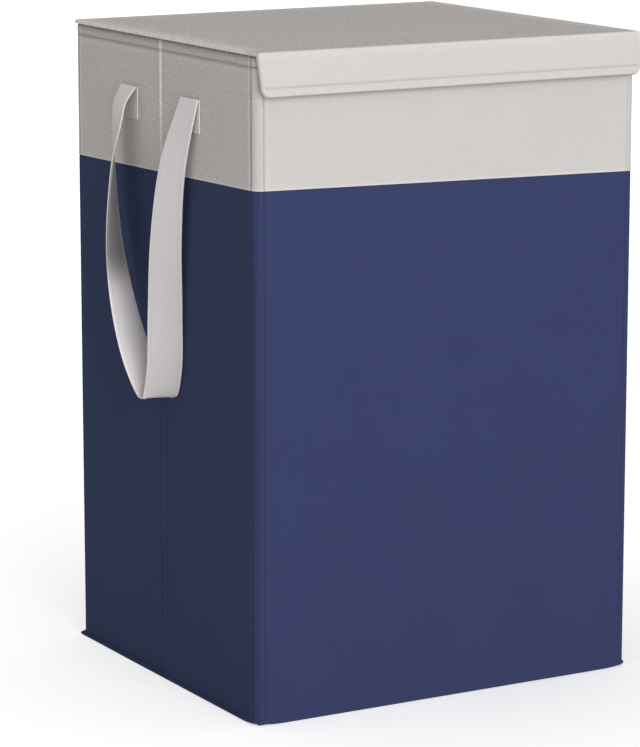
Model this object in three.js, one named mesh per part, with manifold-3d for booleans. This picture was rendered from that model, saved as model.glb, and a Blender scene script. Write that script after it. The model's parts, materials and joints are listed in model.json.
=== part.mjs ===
// A collapsible, cloth-covered laundry hamper with a lid, two carrying straps and two lift-out bags inside.
// Millimetres, +Z up. The origin is on the floor under the middle of the body, and the front faces -Y.
import * as THREE from 'three'
import Module from 'manifold-3d'
import { mergeVertices } from 'three/addons/utils/BufferGeometryUtils.js'

// Outside of the body and of the closed lid
const bodyWidth = 403
const bodyDepth = 360
const bodyHeight = 610
const upperBandHeight = 126.5
const cornerRadius = 8.5

// Layers of a wall, from the outside in
const outerCloth = 0.9
const wallBoard = 1.9
const liningCloth = 0.6
const clearance = 0.3
const hemDepth = 11

// The crease in the middle of each side. The cloth turns in around the boards' ends there, and stands out
// as a ridge, whose top is the line that the side folds about.
const creaseStandoff = 0.8
const creaseWidth = 1.4

// Floor: bottom cloth, bound seam around the foot, and a soft pad under a lining. It folds up with the walls.
const bottomCloth = 1.2
const bindingFrontReach = 0.8
const bindingSideReach = 2
const bindingBackReach = 3.6
const bindingCornerRadius = 3.5
const bindingEdge = 2.2
const bindingRoot = 4.8
const bindingTuck = 3
const floorPad = 2.2
const floorLining = 0.7
const floorGap = 1.5
const sweepClearance = 0.6

// Lid, and the flap along its front edge
const lidCloth = 0.7
const lidBoard = 1.5
const lidLining = 0.6
const lidOverhang = 0.6
const lidFrontOverhang = 1
const lidBackOverhang = 0.5
const hingeStripThickness = 0.8
const hingeStripDrop = 31
const hingeStripInset = 14
const flapHeight = 40
const flapThickness = 5.2
const flapSlant = 5
const flapRound = 4
const flapCornerRadius = 8
const flapSideInset = 1.8
const flapBoardInset = 3.5

// Carrying straps: a flat webbing that leaves its tab at the top, twists a quarter turn and hangs as a loop
const strapWidth = 32.5
const strapThickness = 1.6
const strapTopInset = 51.6
const strapHalfSpacing = 61.5
const strapDrop = 280
const strapStandoff = 21
const strapSteps = 44
const tabThickness = 1.2
const tabHeight = 31

// Inside: a cloth web between two bags
const webThickness = 2
const webTopGap = 31
const webEndGap = 1.3
const bagCloth = 0.8
const bagSideGap = 1.5
const bagEndGap = 6
const bagWebGap = 2
const bagTopGap = 8
const bagRimHeight = 30
const bagRimThickness = 2
const bagCornerRadius = 12
const loopSpan = 110
const loopDrop = 62
const loopWidth = 22
const loopThickness = 1.5
const loopBend = 25
const loopTopGap = 4

// Curve quality and the overrun of every cut
const cornerSteps = 6
const bagCornerSteps = 4
const bendSteps = 5
const cutOverrun = 2

// The strap's middle line from the rear tab to the front tab. Shares of the standoff, of the half spacing
// and of the drop, then the twist of its width about the vertical as a share of a half turn.
const strapShares = [
  [0, 1, 0, 0],
  [0.65, 1.06, 0.25, 0.19],
  [0.98, 0.91, 0.53, 0.29],
  [1, 0.53, 0.765, 0.41],
  [0.87, 0.05, 0.93, 0.52],
  [0.75, -0.36, 1, 0.59],
  [0.73, -0.55, 0.91, 0.645],
  [0.73, -0.6, 0.715, 0.72],
  [0.68, -0.62, 0.47, 0.815],
  [0.48, -0.73, 0.23, 0.905],
  [0, -1, 0, 1],
]

// Worked out from the sizes above
const wallThickness = outerCloth + wallBoard + liningCloth + 2 * clearance
const halfWidth = bodyWidth / 2
const halfDepth = bodyDepth / 2
const bandSeamHeight = bodyHeight - upperBandHeight
const strapHeight = bodyHeight - strapTopInset
const innerHalfWidth = halfWidth - wallThickness
const innerHalfDepth = halfDepth - wallThickness
const lidThickness = lidCloth + lidBoard + lidLining + 2 * clearance
const lidUnderside = bodyHeight - lidThickness
const rimHeight = lidUnderside - clearance
const padBottom = bottomCloth + clearance
const padTop = padBottom + floorPad
const floorTop = padTop + clearance + floorLining
const wallFoot = floorTop + sweepClearance
const seamTop = bandSeamHeight + clearance
const sideEnd = halfDepth - cornerRadius - clearance
const frontEnd = halfWidth - cornerRadius - clearance

const wasm = await Module()
wasm.setup()

const colours = {
  navyCloth: new THREE.MeshStandardMaterial({ color: 0x3c456c, roughness: 0.92, metalness: 0 }),
  greyCloth: new THREE.MeshStandardMaterial({ color: 0xcfcbc6, roughness: 0.95, metalness: 0 }),
  strap: new THREE.MeshStandardMaterial({ color: 0xc9c4c0, roughness: 0.9, metalness: 0 }),
  board: new THREE.MeshStandardMaterial({ color: 0xb39a78, roughness: 0.9, metalness: 0 }),
  lining: new THREE.MeshStandardMaterial({ color: 0xd9d6d1, roughness: 0.95, metalness: 0 }),
  pad: new THREE.MeshStandardMaterial({ color: 0x9a9a98, roughness: 1, metalness: 0 }),
  bag: new THREE.MeshStandardMaterial({ color: 0xe9e6df, roughness: 0.95, metalness: 0 }),
}

const hamper = new THREE.Group()

function part(group, name, material, geometry) {
  const mesh = new THREE.Mesh(geometry, material)
  mesh.name = name
  group.add(mesh)
}

// A closed outline from a list of points
function outline(points) {
  return new THREE.Shape(points.map(([x, y]) => new THREE.Vector2(x, y)))
}

function rectangle(x0, y0, x1, y1) {
  return outline([[x0, y0], [x1, y0], [x1, y1], [x0, y1]])
}

function roundedRectangle(x0, y0, x1, y1, radius) {
  const shape = new THREE.Shape()
  shape.absarc(x1 - radius, y0 + radius, radius, -Math.PI / 2, 0)
  shape.absarc(x1 - radius, y1 - radius, radius, 0, Math.PI / 2)
  shape.absarc(x0 + radius, y1 - radius, radius, Math.PI / 2, Math.PI)
  shape.absarc(x0 + radius, y0 + radius, radius, Math.PI, Math.PI * 3 / 2)
  return shape
}

// Extrusions of an outline: up from a height, or along X or Y from its (across, height) section
function upright(shape, z0, z1, curveSegments = cornerSteps) {
  const geometry = new THREE.ExtrudeGeometry(shape, { depth: z1 - z0, bevelEnabled: false, curveSegments })
  return geometry.translate(0, 0, z0)
}

function alongX(section, x0, x1) {
  const geometry = new THREE.ExtrudeGeometry(section, { depth: x1 - x0, bevelEnabled: false })
  const turn = new THREE.Matrix4().makeBasis(
    new THREE.Vector3(0, 1, 0), new THREE.Vector3(0, 0, 1), new THREE.Vector3(1, 0, 0))
  return geometry.applyMatrix4(turn).translate(x0, 0, 0)
}

function alongY(section, y0, y1) {
  const geometry = new THREE.ExtrudeGeometry(section, { depth: y1 - y0, bevelEnabled: false })
  const turn = new THREE.Matrix4().makeBasis(
    new THREE.Vector3(1, 0, 0), new THREE.Vector3(0, 0, 1), new THREE.Vector3(0, -1, 0))
  return geometry.applyMatrix4(turn).translate(0, y1, 0)
}

// Booleans on closed meshes
function solid(geometry) {
  const bare = geometry.clone()
  bare.deleteAttribute('normal')
  bare.deleteAttribute('uv')
  const merged = mergeVertices(bare, clearance / 100)
  return new wasm.Manifold(new wasm.Mesh({
    numProp: 3,
    vertProperties: new Float32Array(merged.attributes.position.array),
    triVerts: new Uint32Array(merged.index.array),
  }))
}

function geometryOf(manifold) {
  const mesh = manifold.getMesh()
  const geometry = new THREE.BufferGeometry()
  geometry.setAttribute('position', new THREE.BufferAttribute(new Float32Array(mesh.vertProperties), 3))
  geometry.setIndex(new THREE.BufferAttribute(new Uint32Array(mesh.triVerts), 1))
  return geometry
}

function cut(geometry, tool) {
  return geometryOf(solid(geometry).subtract(solid(tool)))
}

function join(geometry, other) {
  return geometryOf(solid(geometry).add(solid(other)))
}

function keepInside(geometry, other) {
  return geometryOf(solid(geometry).intersect(solid(other)))
}

// A band of even thickness along a middle line, as an outline
function bandOutline(points, thickness) {
  const middle = points.map(([x, y]) => new THREE.Vector2(x, y))
  const left = []
  const right = []
  middle.forEach((point, i) => {
    const before = middle[Math.max(i - 1, 0)]
    const after = middle[Math.min(i + 1, middle.length - 1)]
    const into = point.clone().sub(before).normalize()
    const out = after.clone().sub(point).normalize()
    const way = into.clone().add(out).normalize()
    const turning = Math.max(into.dot(way), out.dot(way))
    const across = new THREE.Vector2(-way.y, way.x).multiplyScalar(thickness / 2 / turning)
    left.push(point.clone().add(across))
    right.unshift(point.clone().sub(across))
  })
  return new THREE.Shape([...left, ...right])
}

function arcPoints(centre, radius, from, to, steps) {
  return Array.from({ length: steps + 1 }, (_, i) => {
    const angle = from + (to - from) * i / steps
    return [centre[0] + radius * Math.cos(angle), centre[1] + radius * Math.sin(angle)]
  })
}

// Corner points of a level rectangle with rounded corners, counter-clockwise from its right front corner
function roundedPoints(x0, y0, x1, y1, radius) {
  const [left, right, front, back] = [x0 + radius, x1 - radius, y0 + radius, y1 - radius]
  return [[right, front], [right, back], [left, back], [left, front]].flatMap((centre, i) => {
    const from = (i - 1) * Math.PI / 2
    return arcPoints(centre, radius, from, from + Math.PI / 2, cornerSteps)
  })
}

// A closed ring through level outlines with equally many points, given in order around its section
function ring(levels) {
  const count = levels[0][0].length
  const positions = levels.flatMap(([points, z]) => points.flatMap(([x, y]) => [x, y, z]))
  const faces = []
  for (let i = 0; i < levels.length; i++) {
    const next = (i + 1) % levels.length
    for (let j = 0; j < count; j++) {
      const k = (j + 1) % count
      faces.push(i * count + j, i * count + k, next * count + k)
      faces.push(i * count + j, next * count + k, next * count + j)
    }
  }
  const geometry = new THREE.BufferGeometry()
  geometry.setAttribute('position', new THREE.Float32BufferAttribute(positions, 3))
  geometry.setIndex(faces)
  return geometry
}

// Wall layers. A wall runs from one end to the other, and out is the way its outer face looks, 1 or -1.
const layers = {
  cloth: [0, outerCloth],
  board: [outerCloth + clearance, outerCloth + clearance + wallBoard],
  lining: [wallThickness - liningCloth, wallThickness],
}

// The upper cloth goes up the outside, over the board and a hem's depth down the inside
function upperClothSection(face, out) {
  const at = depth => face - out * depth
  const outside = [[at(0), seamTop], [at(0), rimHeight], [at(wallThickness), rimHeight]]
  const inside = [
    [at(wallThickness), rimHeight - hemDepth],
    [at(wallThickness - liningCloth), rimHeight - hemDepth],
    [at(wallThickness - liningCloth), rimHeight - outerCloth],
    [at(outerCloth), rimHeight - outerCloth],
    [at(outerCloth), seamTop],
  ]
  return outline([...outside, ...inside])
}

function wall(group, name, run, face, out, start, end) {
  const slab = ([near, far], z0, z1) => {
    const [a, b] = [face - out * near, face - out * far]
    return upright(run === 'x' ? rectangle(start, a, end, b) : rectangle(a, start, b, end), z0, z1)
  }
  const boardTop = rimHeight - outerCloth - clearance
  const liningTop = rimHeight - hemDepth - clearance
  const creaseAtStart = run === 'y' && start > 0
  const creaseAtEnd = run === 'y' && end < 0
  const edge = creaseAtStart ? [start, start + creaseWidth] : [end - creaseWidth, end]
  const withEdge = (cloth, z0, z1) => run === 'x' ? cloth : join(cloth, upright(
    rectangle(face - out * layers.board[1], edge[0], face + out * creaseStandoff, edge[1]), z0, z1))
  const lower = slab(layers.cloth, wallFoot, bandSeamHeight)
  part(group, `${name}_lower_cloth`, colours.navyCloth, withEdge(lower, wallFoot, bandSeamHeight))
  const section = upperClothSection(face, out)
  const upper = run === 'x' ? alongX(section, start, end) : alongY(section, start, end)
  part(group, `${name}_upper_cloth`, colours.greyCloth, withEdge(upper, seamTop, boardTop))
  part(group, `${name}_lining`, colours.lining, slab(layers.lining, wallFoot, liningTop))
  if (creaseAtStart) start = edge[1] + clearance
  if (creaseAtEnd) end = edge[0] - clearance
  part(group, `${name}_board`, colours.board, slab(layers.board, wallFoot, boardTop))
}

// Quarter-round cloth around a corner, between the seams of its two walls
function corner(group, name, side, end) {
  const centre = [side * (halfWidth - cornerRadius), end * (halfDepth - cornerRadius)]
  const from = Math.atan2(0, side)
  const to = from + side * end * Math.PI / 2
  const outer = arcPoints(centre, cornerRadius, from, to, cornerSteps)
  const inner = arcPoints(centre, cornerRadius - outerCloth, to, from, cornerSteps)
  const shape = outline([...outer, ...inner])
  part(group, `${name}_lower_cloth`, colours.navyCloth, upright(shape, wallFoot, bandSeamHeight))
  part(group, `${name}_upper_cloth`, colours.greyCloth, upright(shape, seamTop, rimHeight))
}

// The strap's loop on one side of the body
function strapGeometry(side) {
  const root = halfWidth + clearance + tabThickness + clearance + strapThickness / 2
  const knots = strapShares.map(([out, across, drop]) => new THREE.Vector3(
    side * (root + out * strapStandoff), across * strapHalfSpacing, strapHeight - drop * strapDrop))
  const line = new THREE.CatmullRomCurve3(knots, false, 'centripetal')
  const twists = new THREE.SplineCurve(strapShares.map(([, , , twist], i) => new THREE.Vector2(i, twist)))
  const positions = []
  for (let i = 0; i <= strapSteps; i++) {
    const share = i / strapSteps
    const middle = line.getPoint(share)
    const ahead = i === 0 || i === strapSteps ? new THREE.Vector3(0, 0, i ? 1 : -1) : line.getTangent(share)
    const angle = twists.getPoint(share).y * Math.PI
    const width = new THREE.Vector3(-side * Math.sin(angle), Math.cos(angle), 0)
    width.addScaledVector(ahead, -width.dot(ahead)).normalize()
    const through = width.clone().cross(ahead).normalize()
    for (const [a, b] of [[1, 1], [-1, 1], [-1, -1], [1, -1]]) {
      const point = middle.clone().addScaledVector(width, a * strapWidth / 2)
      positions.push(...point.addScaledVector(through, b * strapThickness / 2).toArray())
    }
  }
  const faces = []
  const quad = (a, b, c, d) => faces.push(a, c, b, a, d, c)
  for (let i = 0; i < strapSteps; i++) {
    for (let j = 0; j < 4; j++) {
      const k = (j + 1) % 4
      quad(4 * i + j, 4 * i + k, 4 * i + 4 + k, 4 * i + 4 + j)
    }
  }
  const last = 4 * strapSteps
  quad(3, 2, 1, 0)
  quad(last, last + 1, last + 2, last + 3)
  const geometry = new THREE.BufferGeometry()
  geometry.setAttribute('position', new THREE.Float32BufferAttribute(positions, 3))
  geometry.setIndex(faces)
  return geometry
}

function strapTab(group, name, side, end) {
  const [near, far] = [side * (halfWidth + clearance), side * (halfWidth + clearance + tabThickness)]
  const middle = end * strapHalfSpacing
  const shape = rectangle(near, middle - strapWidth / 2, far, middle + strapWidth / 2)
  part(group, name, colours.strap, upright(shape, strapHeight - tabHeight, strapHeight))
}

// Back wall with everything that stays with it when the body folds
const backWall = new THREE.Group()
wall(backWall, 'back', 'x', halfDepth, 1, -frontEnd, frontEnd)
corner(backWall, 'rear_left_corner', -1, 1)
corner(backWall, 'rear_right_corner', 1, 1)
part(backWall, 'lid_hinge_strip', colours.greyCloth, upright(
  rectangle(-halfWidth + hingeStripInset, halfDepth + clearance,
    halfWidth - hingeStripInset, halfDepth + clearance + hingeStripThickness),
  rimHeight - hingeStripDrop, rimHeight))
hamper.add(backWall)

const frontWall = new THREE.Group()
wall(frontWall, 'front', 'x', -halfDepth, -1, -frontEnd, frontEnd)
corner(frontWall, 'front_left_corner', -1, -1)
corner(frontWall, 'front_right_corner', 1, -1)
hamper.add(frontWall)

// Side walls, each in two halves that meet at the crease, with the strap and its sewn ends
for (const [name, side] of [['left', -1], ['right', 1]]) {
  const sideWall = new THREE.Group()
  wall(sideWall, `${name}_rear`, 'y', side * halfWidth, side, clearance / 2, sideEnd)
  wall(sideWall, `${name}_front`, 'y', side * halfWidth, side, -sideEnd, -clearance / 2)
  strapTab(sideWall, `${name}_rear_strap_tab`, side, 1)
  strapTab(sideWall, `${name}_front_strap_tab`, side, -1)
  part(sideWall, `${name}_strap`, colours.strap, strapGeometry(side))
  hamper.add(sideWall)
}

// Floor: the bottom cloth, and the bound seam around it, which widens from the walls down to its edge
const tuckedHalfWidth = halfWidth - bindingTuck
const tuckedHalfDepth = halfDepth - bindingTuck
const tuckedRadius = cornerRadius - bindingTuck
part(hamper, 'bottom_cloth', colours.navyCloth, upright(
  roundedRectangle(-tuckedHalfWidth + clearance, -tuckedHalfDepth + clearance,
    tuckedHalfWidth - clearance, tuckedHalfDepth - clearance, tuckedRadius - clearance), 0, bottomCloth))
const bindingOuter = roundedPoints(
  -halfWidth - bindingSideReach, -halfDepth - bindingFrontReach,
  halfWidth + bindingSideReach, halfDepth + bindingBackReach, bindingCornerRadius)
const bindingInner = roundedPoints(
  -tuckedHalfWidth, -tuckedHalfDepth, tuckedHalfWidth, tuckedHalfDepth, tuckedRadius)
part(hamper, 'foot_binding', colours.navyCloth, ring([
  [bindingOuter, 0],
  [bindingOuter, bindingEdge],
  [roundedPoints(-halfWidth, -halfDepth, halfWidth, halfDepth, cornerRadius), bindingRoot],
  [bindingInner, bindingRoot],
  [bindingInner, 0],
]))

const floorHalfWidth = innerHalfWidth - floorGap
const floorHalfDepth = innerHalfDepth - floorGap
const floorOutline = rectangle(-floorHalfWidth, -floorHalfDepth, floorHalfWidth, floorHalfDepth)
part(hamper, 'floor_pad', colours.pad, upright(floorOutline, padBottom, padTop))
part(hamper, 'floor_lining', colours.lining, upright(floorOutline, padTop + clearance, floorTop))

// Lid: board between a lining and a top cloth that turns down around its edges
const lidSides = halfWidth + lidOverhang
const lidFront = -halfDepth - lidFrontOverhang
const lidBack = halfDepth + lidBackOverhang
const lidRectangle = inset => rectangle(
  -lidSides + inset, lidFront + inset, lidSides - inset, lidBack - inset)
part(hamper, 'lid_top_cloth', colours.greyCloth, cut(
  upright(lidRectangle(0), lidUnderside, bodyHeight),
  upright(lidRectangle(lidCloth), lidUnderside - cutOverrun, bodyHeight - lidCloth)))
const lidInset = lidCloth + clearance
const lidBoardBottom = lidUnderside + lidLining + clearance
part(hamper, 'lid_board', colours.board, upright(
  lidRectangle(lidInset), lidBoardBottom, lidBoardBottom + lidBoard))
part(hamper, 'lid_lining', colours.lining, upright(
  lidRectangle(lidInset), lidUnderside, lidUnderside + lidLining))

// Front flap of the lid: a stiff strip in a cloth that comes over the front edge and back up inside
const flapTop = [lidFront - clearance, bodyHeight]
const clothHalf = lidCloth / 2
const flapBottom = bodyHeight - flapHeight
const flapInnerTop = lidUnderside
const flapTurn = flapBottom + flapThickness / 2
const slantAt = z => flapSlant * (flapInnerTop - z) / (flapInnerTop - flapTurn)
const flapInner = z => flapTop[0] - clothHalf - slantAt(z)
const flapOuter = z => flapInner(z) - flapThickness + lidCloth
const overEdge = arcPoints(
  [flapOuter(bodyHeight - flapRound) + flapRound, bodyHeight - flapRound - clothHalf], flapRound,
  Math.PI / 2, Math.PI, bendSteps)
const turnUp = arcPoints(
  [flapOuter(flapTurn) + (flapThickness - lidCloth) / 2, flapTurn],
  (flapThickness - lidCloth) / 2, Math.PI, Math.PI * 2, bendSteps)
const flapLine = [
  [flapTop[0], bodyHeight - clothHalf], ...overEdge, ...turnUp, [flapInner(flapInnerTop), flapInnerTop]]
const flapReach = lidSides - flapSideInset
const frontView = reach => alongY(outline([
  [-reach, bodyHeight],
  ...arcPoints([-reach + flapCornerRadius, flapBottom + flapCornerRadius], flapCornerRadius,
    Math.PI, Math.PI * 3 / 2, bendSteps),
  ...arcPoints([reach - flapCornerRadius, flapBottom + flapCornerRadius], flapCornerRadius,
    -Math.PI / 2, 0, bendSteps),
  [reach, bodyHeight],
]), lidFront - flapThickness - flapSlant - cutOverrun, lidFront)
part(hamper, 'flap_cloth', colours.greyCloth, keepInside(
  alongX(bandOutline(flapLine, lidCloth), -flapReach, flapReach), frontView(flapReach)))
const flapBoardBottom = flapBottom + flapBoardInset
const flapBoardTop = bodyHeight - flapRound - lidCloth
const boardNear = lidCloth / 2 + clearance
const flapBoardReach = flapReach - flapBoardInset
const flapBoardSection = outline([
  [flapInner(flapBoardTop) - boardNear, flapBoardTop],
  [flapOuter(flapBoardTop) + boardNear, flapBoardTop],
  [flapOuter(flapBoardBottom) + boardNear, flapBoardBottom],
  [flapInner(flapBoardBottom) - boardNear, flapBoardBottom],
])
part(hamper, 'flap_board', colours.board, keepInside(
  alongX(flapBoardSection, -flapBoardReach, flapBoardReach), frontView(flapBoardReach)))

// Inside: the web and the two bags, each with a stiffened rim and two pull loops
const webEnd = innerHalfDepth - webEndGap
part(hamper, 'divider_web', colours.lining, upright(
  rectangle(-webThickness / 2, -webEnd, webThickness / 2, webEnd), wallFoot, rimHeight - webTopGap))

const bagTop = rimHeight - bagTopGap
const bagRimFoot = bagTop - bagRimHeight
const bagNear = webThickness / 2 + bagWebGap
const bagFar = innerHalfWidth - bagSideGap
const bagEnd = innerHalfDepth - bagEndGap
for (const [name, side] of [['left', -1], ['right', 1]]) {
  const [low, high] = side < 0 ? [-bagFar, -bagNear] : [bagNear, bagFar]
  const bag = inset => roundedRectangle(
    low + inset, -bagEnd + inset, high - inset, bagEnd - inset, bagCornerRadius - inset)
  part(hamper, `${name}_bag`, colours.bag, cut(
    upright(bag(0), wallFoot, bagRimFoot - clearance, bagCornerSteps),
    upright(bag(bagCloth), wallFoot + bagCloth, bagRimFoot + cutOverrun, bagCornerSteps)))
  part(hamper, `${name}_bag_rim`, colours.bag, cut(
    upright(bag(0), bagRimFoot, bagTop, bagCornerSteps),
    upright(bag(bagRimThickness), bagRimFoot - cutOverrun, bagTop + cutOverrun, bagCornerSteps)))
  const middle = side * (bagNear + bagFar) / 2
  const loopTop = bagTop - loopTopGap
  const arm = loopSpan / 2 - loopWidth / 2
  const bend = loopBend
  const loopLine = [
    [middle - arm, loopTop],
    ...arcPoints([middle - arm + bend, loopTop - loopDrop + bend], bend, Math.PI, Math.PI * 3 / 2, bendSteps),
    ...arcPoints([middle + arm - bend, loopTop - loopDrop + bend], bend, -Math.PI / 2, 0, bendSteps),
    [middle + arm, loopTop],
  ]
  for (const [place, end] of [['rear', 1], ['front', -1]]) {
    const seat = bagEnd - bagRimThickness - clearance
    const [y0, y1] = end > 0 ? [seat - loopThickness, seat] : [-seat, -seat + loopThickness]
    part(hamper, `${name}_bag_${place}_loop`, colours.bag, alongY(bandOutline(loopLine, loopWidth), y0, y1))
  }
}

export default hamper
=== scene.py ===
"""A folding laundry hamper in grey and navy cloth, with a lid, two carrying straps and two lift-out bags."""
import json
import math

import bmesh
import bpy
import numpy as np
from bpy.props import FloatProperty, FloatVectorProperty, IntProperty, PointerProperty
from mathutils import Matrix, Vector

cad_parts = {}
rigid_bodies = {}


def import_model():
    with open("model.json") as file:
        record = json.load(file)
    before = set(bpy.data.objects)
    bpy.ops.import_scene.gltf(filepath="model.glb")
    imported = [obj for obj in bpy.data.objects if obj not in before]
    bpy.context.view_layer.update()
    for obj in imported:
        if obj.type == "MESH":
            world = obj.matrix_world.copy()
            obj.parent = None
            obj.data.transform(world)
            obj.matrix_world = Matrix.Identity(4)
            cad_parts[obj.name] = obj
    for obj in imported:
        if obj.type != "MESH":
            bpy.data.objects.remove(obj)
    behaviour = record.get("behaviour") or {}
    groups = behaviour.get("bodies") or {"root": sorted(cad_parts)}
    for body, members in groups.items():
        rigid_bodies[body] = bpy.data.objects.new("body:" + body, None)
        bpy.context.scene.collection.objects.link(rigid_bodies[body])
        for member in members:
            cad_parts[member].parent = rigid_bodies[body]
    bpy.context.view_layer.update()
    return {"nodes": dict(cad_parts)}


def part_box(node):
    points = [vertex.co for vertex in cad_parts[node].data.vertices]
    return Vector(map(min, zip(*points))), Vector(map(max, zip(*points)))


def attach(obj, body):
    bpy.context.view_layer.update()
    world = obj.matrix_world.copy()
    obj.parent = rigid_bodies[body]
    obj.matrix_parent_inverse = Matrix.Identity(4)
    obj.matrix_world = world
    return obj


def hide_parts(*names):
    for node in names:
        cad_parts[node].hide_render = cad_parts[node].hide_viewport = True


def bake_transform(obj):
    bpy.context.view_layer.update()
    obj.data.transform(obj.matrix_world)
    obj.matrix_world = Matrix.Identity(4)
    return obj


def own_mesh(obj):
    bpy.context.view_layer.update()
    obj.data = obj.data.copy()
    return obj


bl_info = {
    "name": "Laundry Hamper",
    "version": (1, 0, 0),
    "blender": (4, 5, 0),
    "location": "View3D > Sidebar > Hamper",
    "description": "Cloth, seams, straps, lid, bags and studio of a folding laundry hamper",
    "category": "Object",
}

for left_over in list(bpy.data.objects):
    bpy.data.objects.remove(left_over)
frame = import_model()

TOUCH = 0.00002
ACROSS, DEEP, UP = 0, 1, 2
# Half of the gap between two cloths at a seam
HALF_GAP = 0.00015


def low(node):
    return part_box(node)[0]


def high(node):
    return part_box(node)[1]


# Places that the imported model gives
half_width = high("front_right_corner_lower_cloth").x
half_depth = high("rear_left_corner_lower_cloth").y
corner_radius = half_width - low("front_right_corner_lower_cloth").x
wall_foot = low("front_lower_cloth").z
band_seam = high("front_lower_cloth").z
rim_height = high("front_upper_cloth").z
wall_thickness = half_width - low("right_rear_lining").x
front_reach = high("front_lower_cloth").x + HALF_GAP
side_reach = high("left_rear_lower_cloth").y + HALF_GAP
strap_top = high("left_strap").z

# The lowest and highest place of each band's flat cloth. The grey one turns over the rim above that
navy_levels = (wall_foot - 0.0004, band_seam)
grey_levels = (band_seam - 0.0001, rim_height - 0.0016)
# How the cloths bend at the seam between the bands: how far from their edge, and how far out
navy_edge_rows = ((0, -0.0006), (0.001, -0.0001), (0.0022, 0))
grey_edge_rows = ((0, 0.0003), (0.001, 0.0005), (0.0022, 0.0003), (0.0034, 0))
# How far the seam between the bands lies above or below its level at the body's four corners
seam_slants = {(-1, -1): 0.0044, (1, -1): -0.0042, (-1, 1): -0.0033, (1, 1): -0.0035}

# Each wall half: its body, which way it is turned, its outer face, where it starts and ends along itself,
# and at which end the crease is, -1, 0 or 1
walls = {
    "front": ("front_wall", 0, half_depth, -front_reach, front_reach, 0),
    "back": ("back_wall", 180, half_depth, -front_reach, front_reach, 0),
    "left_rear": ("left_rear_wall", -90, half_width, -side_reach, 0, 1),
    "left_front": ("left_front_wall", -90, half_width, 0, side_reach, -1),
    "right_rear": ("right_rear_wall", 90, half_width, 0, side_reach, -1),
    "right_front": ("right_front_wall", 90, half_width, -side_reach, 0, 1),
}
# The section of a crease's half ridge and of the dip into a seam, from the flat cloth to the cloth's end:
# shares of their width and of their height
ridge_shares = ((1, 0), (0.75, 0.25), (0.42, 0.9), (0.15, 1.05), (0, 0.8))
dip_shares = ((1, 0), (0.6, 0.06), (0.3, 0.3), (0, 1))

# Each corner: its way out from the middle of the body, its turn, and the two bodies that its cloths join
corners = {
    "rear_left_corner": (-1, 1, 180, "back_wall", "left_rear_wall"),
    "rear_right_corner": (1, 1, 90, "back_wall", "right_rear_wall"),
    "front_left_corner": (-1, -1, -90, "front_wall", "left_front_wall"),
    "front_right_corner": (1, -1, 0, "front_wall", "right_front_wall"),
}

# The section of the bound seam at the foot: how far out from the wall, as a share of the seam's reach,
# how far it is drawn in from there, and its height
foot_rows = (
    (0.8, 0, 0), (1, 0, 0.0006), (1, 0, 0.0016), (0.82, 0, 0.0024), (0.4, 0, 0.0033), (0.18, 0, 0.0044),
    (0.14, 0, 0.0056), (0.1, 0.0003, 0.0061), (0, 0.0008, 0.0058), (0, 0.0026, 0.0046), (0, 0.003, 0.0024),
    (0, 0.003, 0))

# The strap's middle line from its rear end to its front end: shares of the standoff, of half the spacing of
# its ends and of the drop, then the turn of its width as a share of a half turn
strap_shares = (
    (0, 0.98, 0, 0.022),
    (0.45, 1.01, 0.055, 0.045),
    (0.56, 1.04, 0.115, 0.07),
    (0.78, 1.05, 0.25, 0.165),
    (0.98, 0.9, 0.53, 0.3),
    (0.98, 0.53, 0.765, 0.41),
    (0.87, 0.05, 0.93, 0.52),
    (0.75, -0.36, 1, 0.59),
    (0.73, -0.55, 0.91, 0.645),
    (0.73, -0.6, 0.715, 0.72),
    (0.68, -0.62, 0.47, 0.815),
    (0.48, -0.73, 0.23, 0.905),
    (0, -1, 0, 1),
)
# Where a strap and a pull loop have their columns of points, as shares of their width
strap_columns_share = (
    -0.5, -0.488, -0.46, -0.425, -0.4, -0.375, -0.2, 0, 0.2, 0.375, 0.4, 0.425, 0.46, 0.488, 0.5)
loop_columns_share = (-0.5, -0.48, -0.4, -0.36, 0, 0.36, 0.4, 0.48, 0.5)

# Each cloth: its colour, how much its flecks and its patches show, its threads to the metre, their height in
# metres, how much its painted highlights lighten its folds and its painted shade darkens its seams, its
# roughness and its sheen
cloths = {
    "grey_cloth": ("grey", 0.62, 0.07, 850, 0.00012, 0.16, 0.3, 0.92, 0.03),
    "navy_cloth": ("navy", 0.08, 0.1, 850, 0.00012, 0.5, 0.4, 0.9, 0.0),
    "strap_webbing": ("strap", 0.16, 0.07, 1100, 0.00012, 0.3, 0.1, 0.88, 0.03),
    "lining_cloth": ("lining", 0.14, 0.05, 700, 0.00015, 0.1, 0.3, 0.93, 0.03),
    "bag_cloth": ("bag", 0.16, 0.06, 620, 0.0002, 0.08, 0.3, 0.93, 0.05),
    "felt": ("felt", 0.5, 0.2, 400, 0.0003, 0.0, 0.0, 0.97, 0.1),
}
# The grey cloth shows its flecks on the sides and the lid, and hardly in the front light
grey_flecks = {"Lid": 1.2, "Front": 0.08, "Flap": 0.18, "Corner": 0.25}


def length(name, description, default):
    return FloatProperty(
        name=name, description=description, default=default, min=0.0, unit="LENGTH", precision=4)


def colour(name, description, default):
    return FloatVectorProperty(
        name=name, description=description, default=(*default, 1.0), size=4, min=0.0, max=1.0,
        subtype="COLOR")


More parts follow.
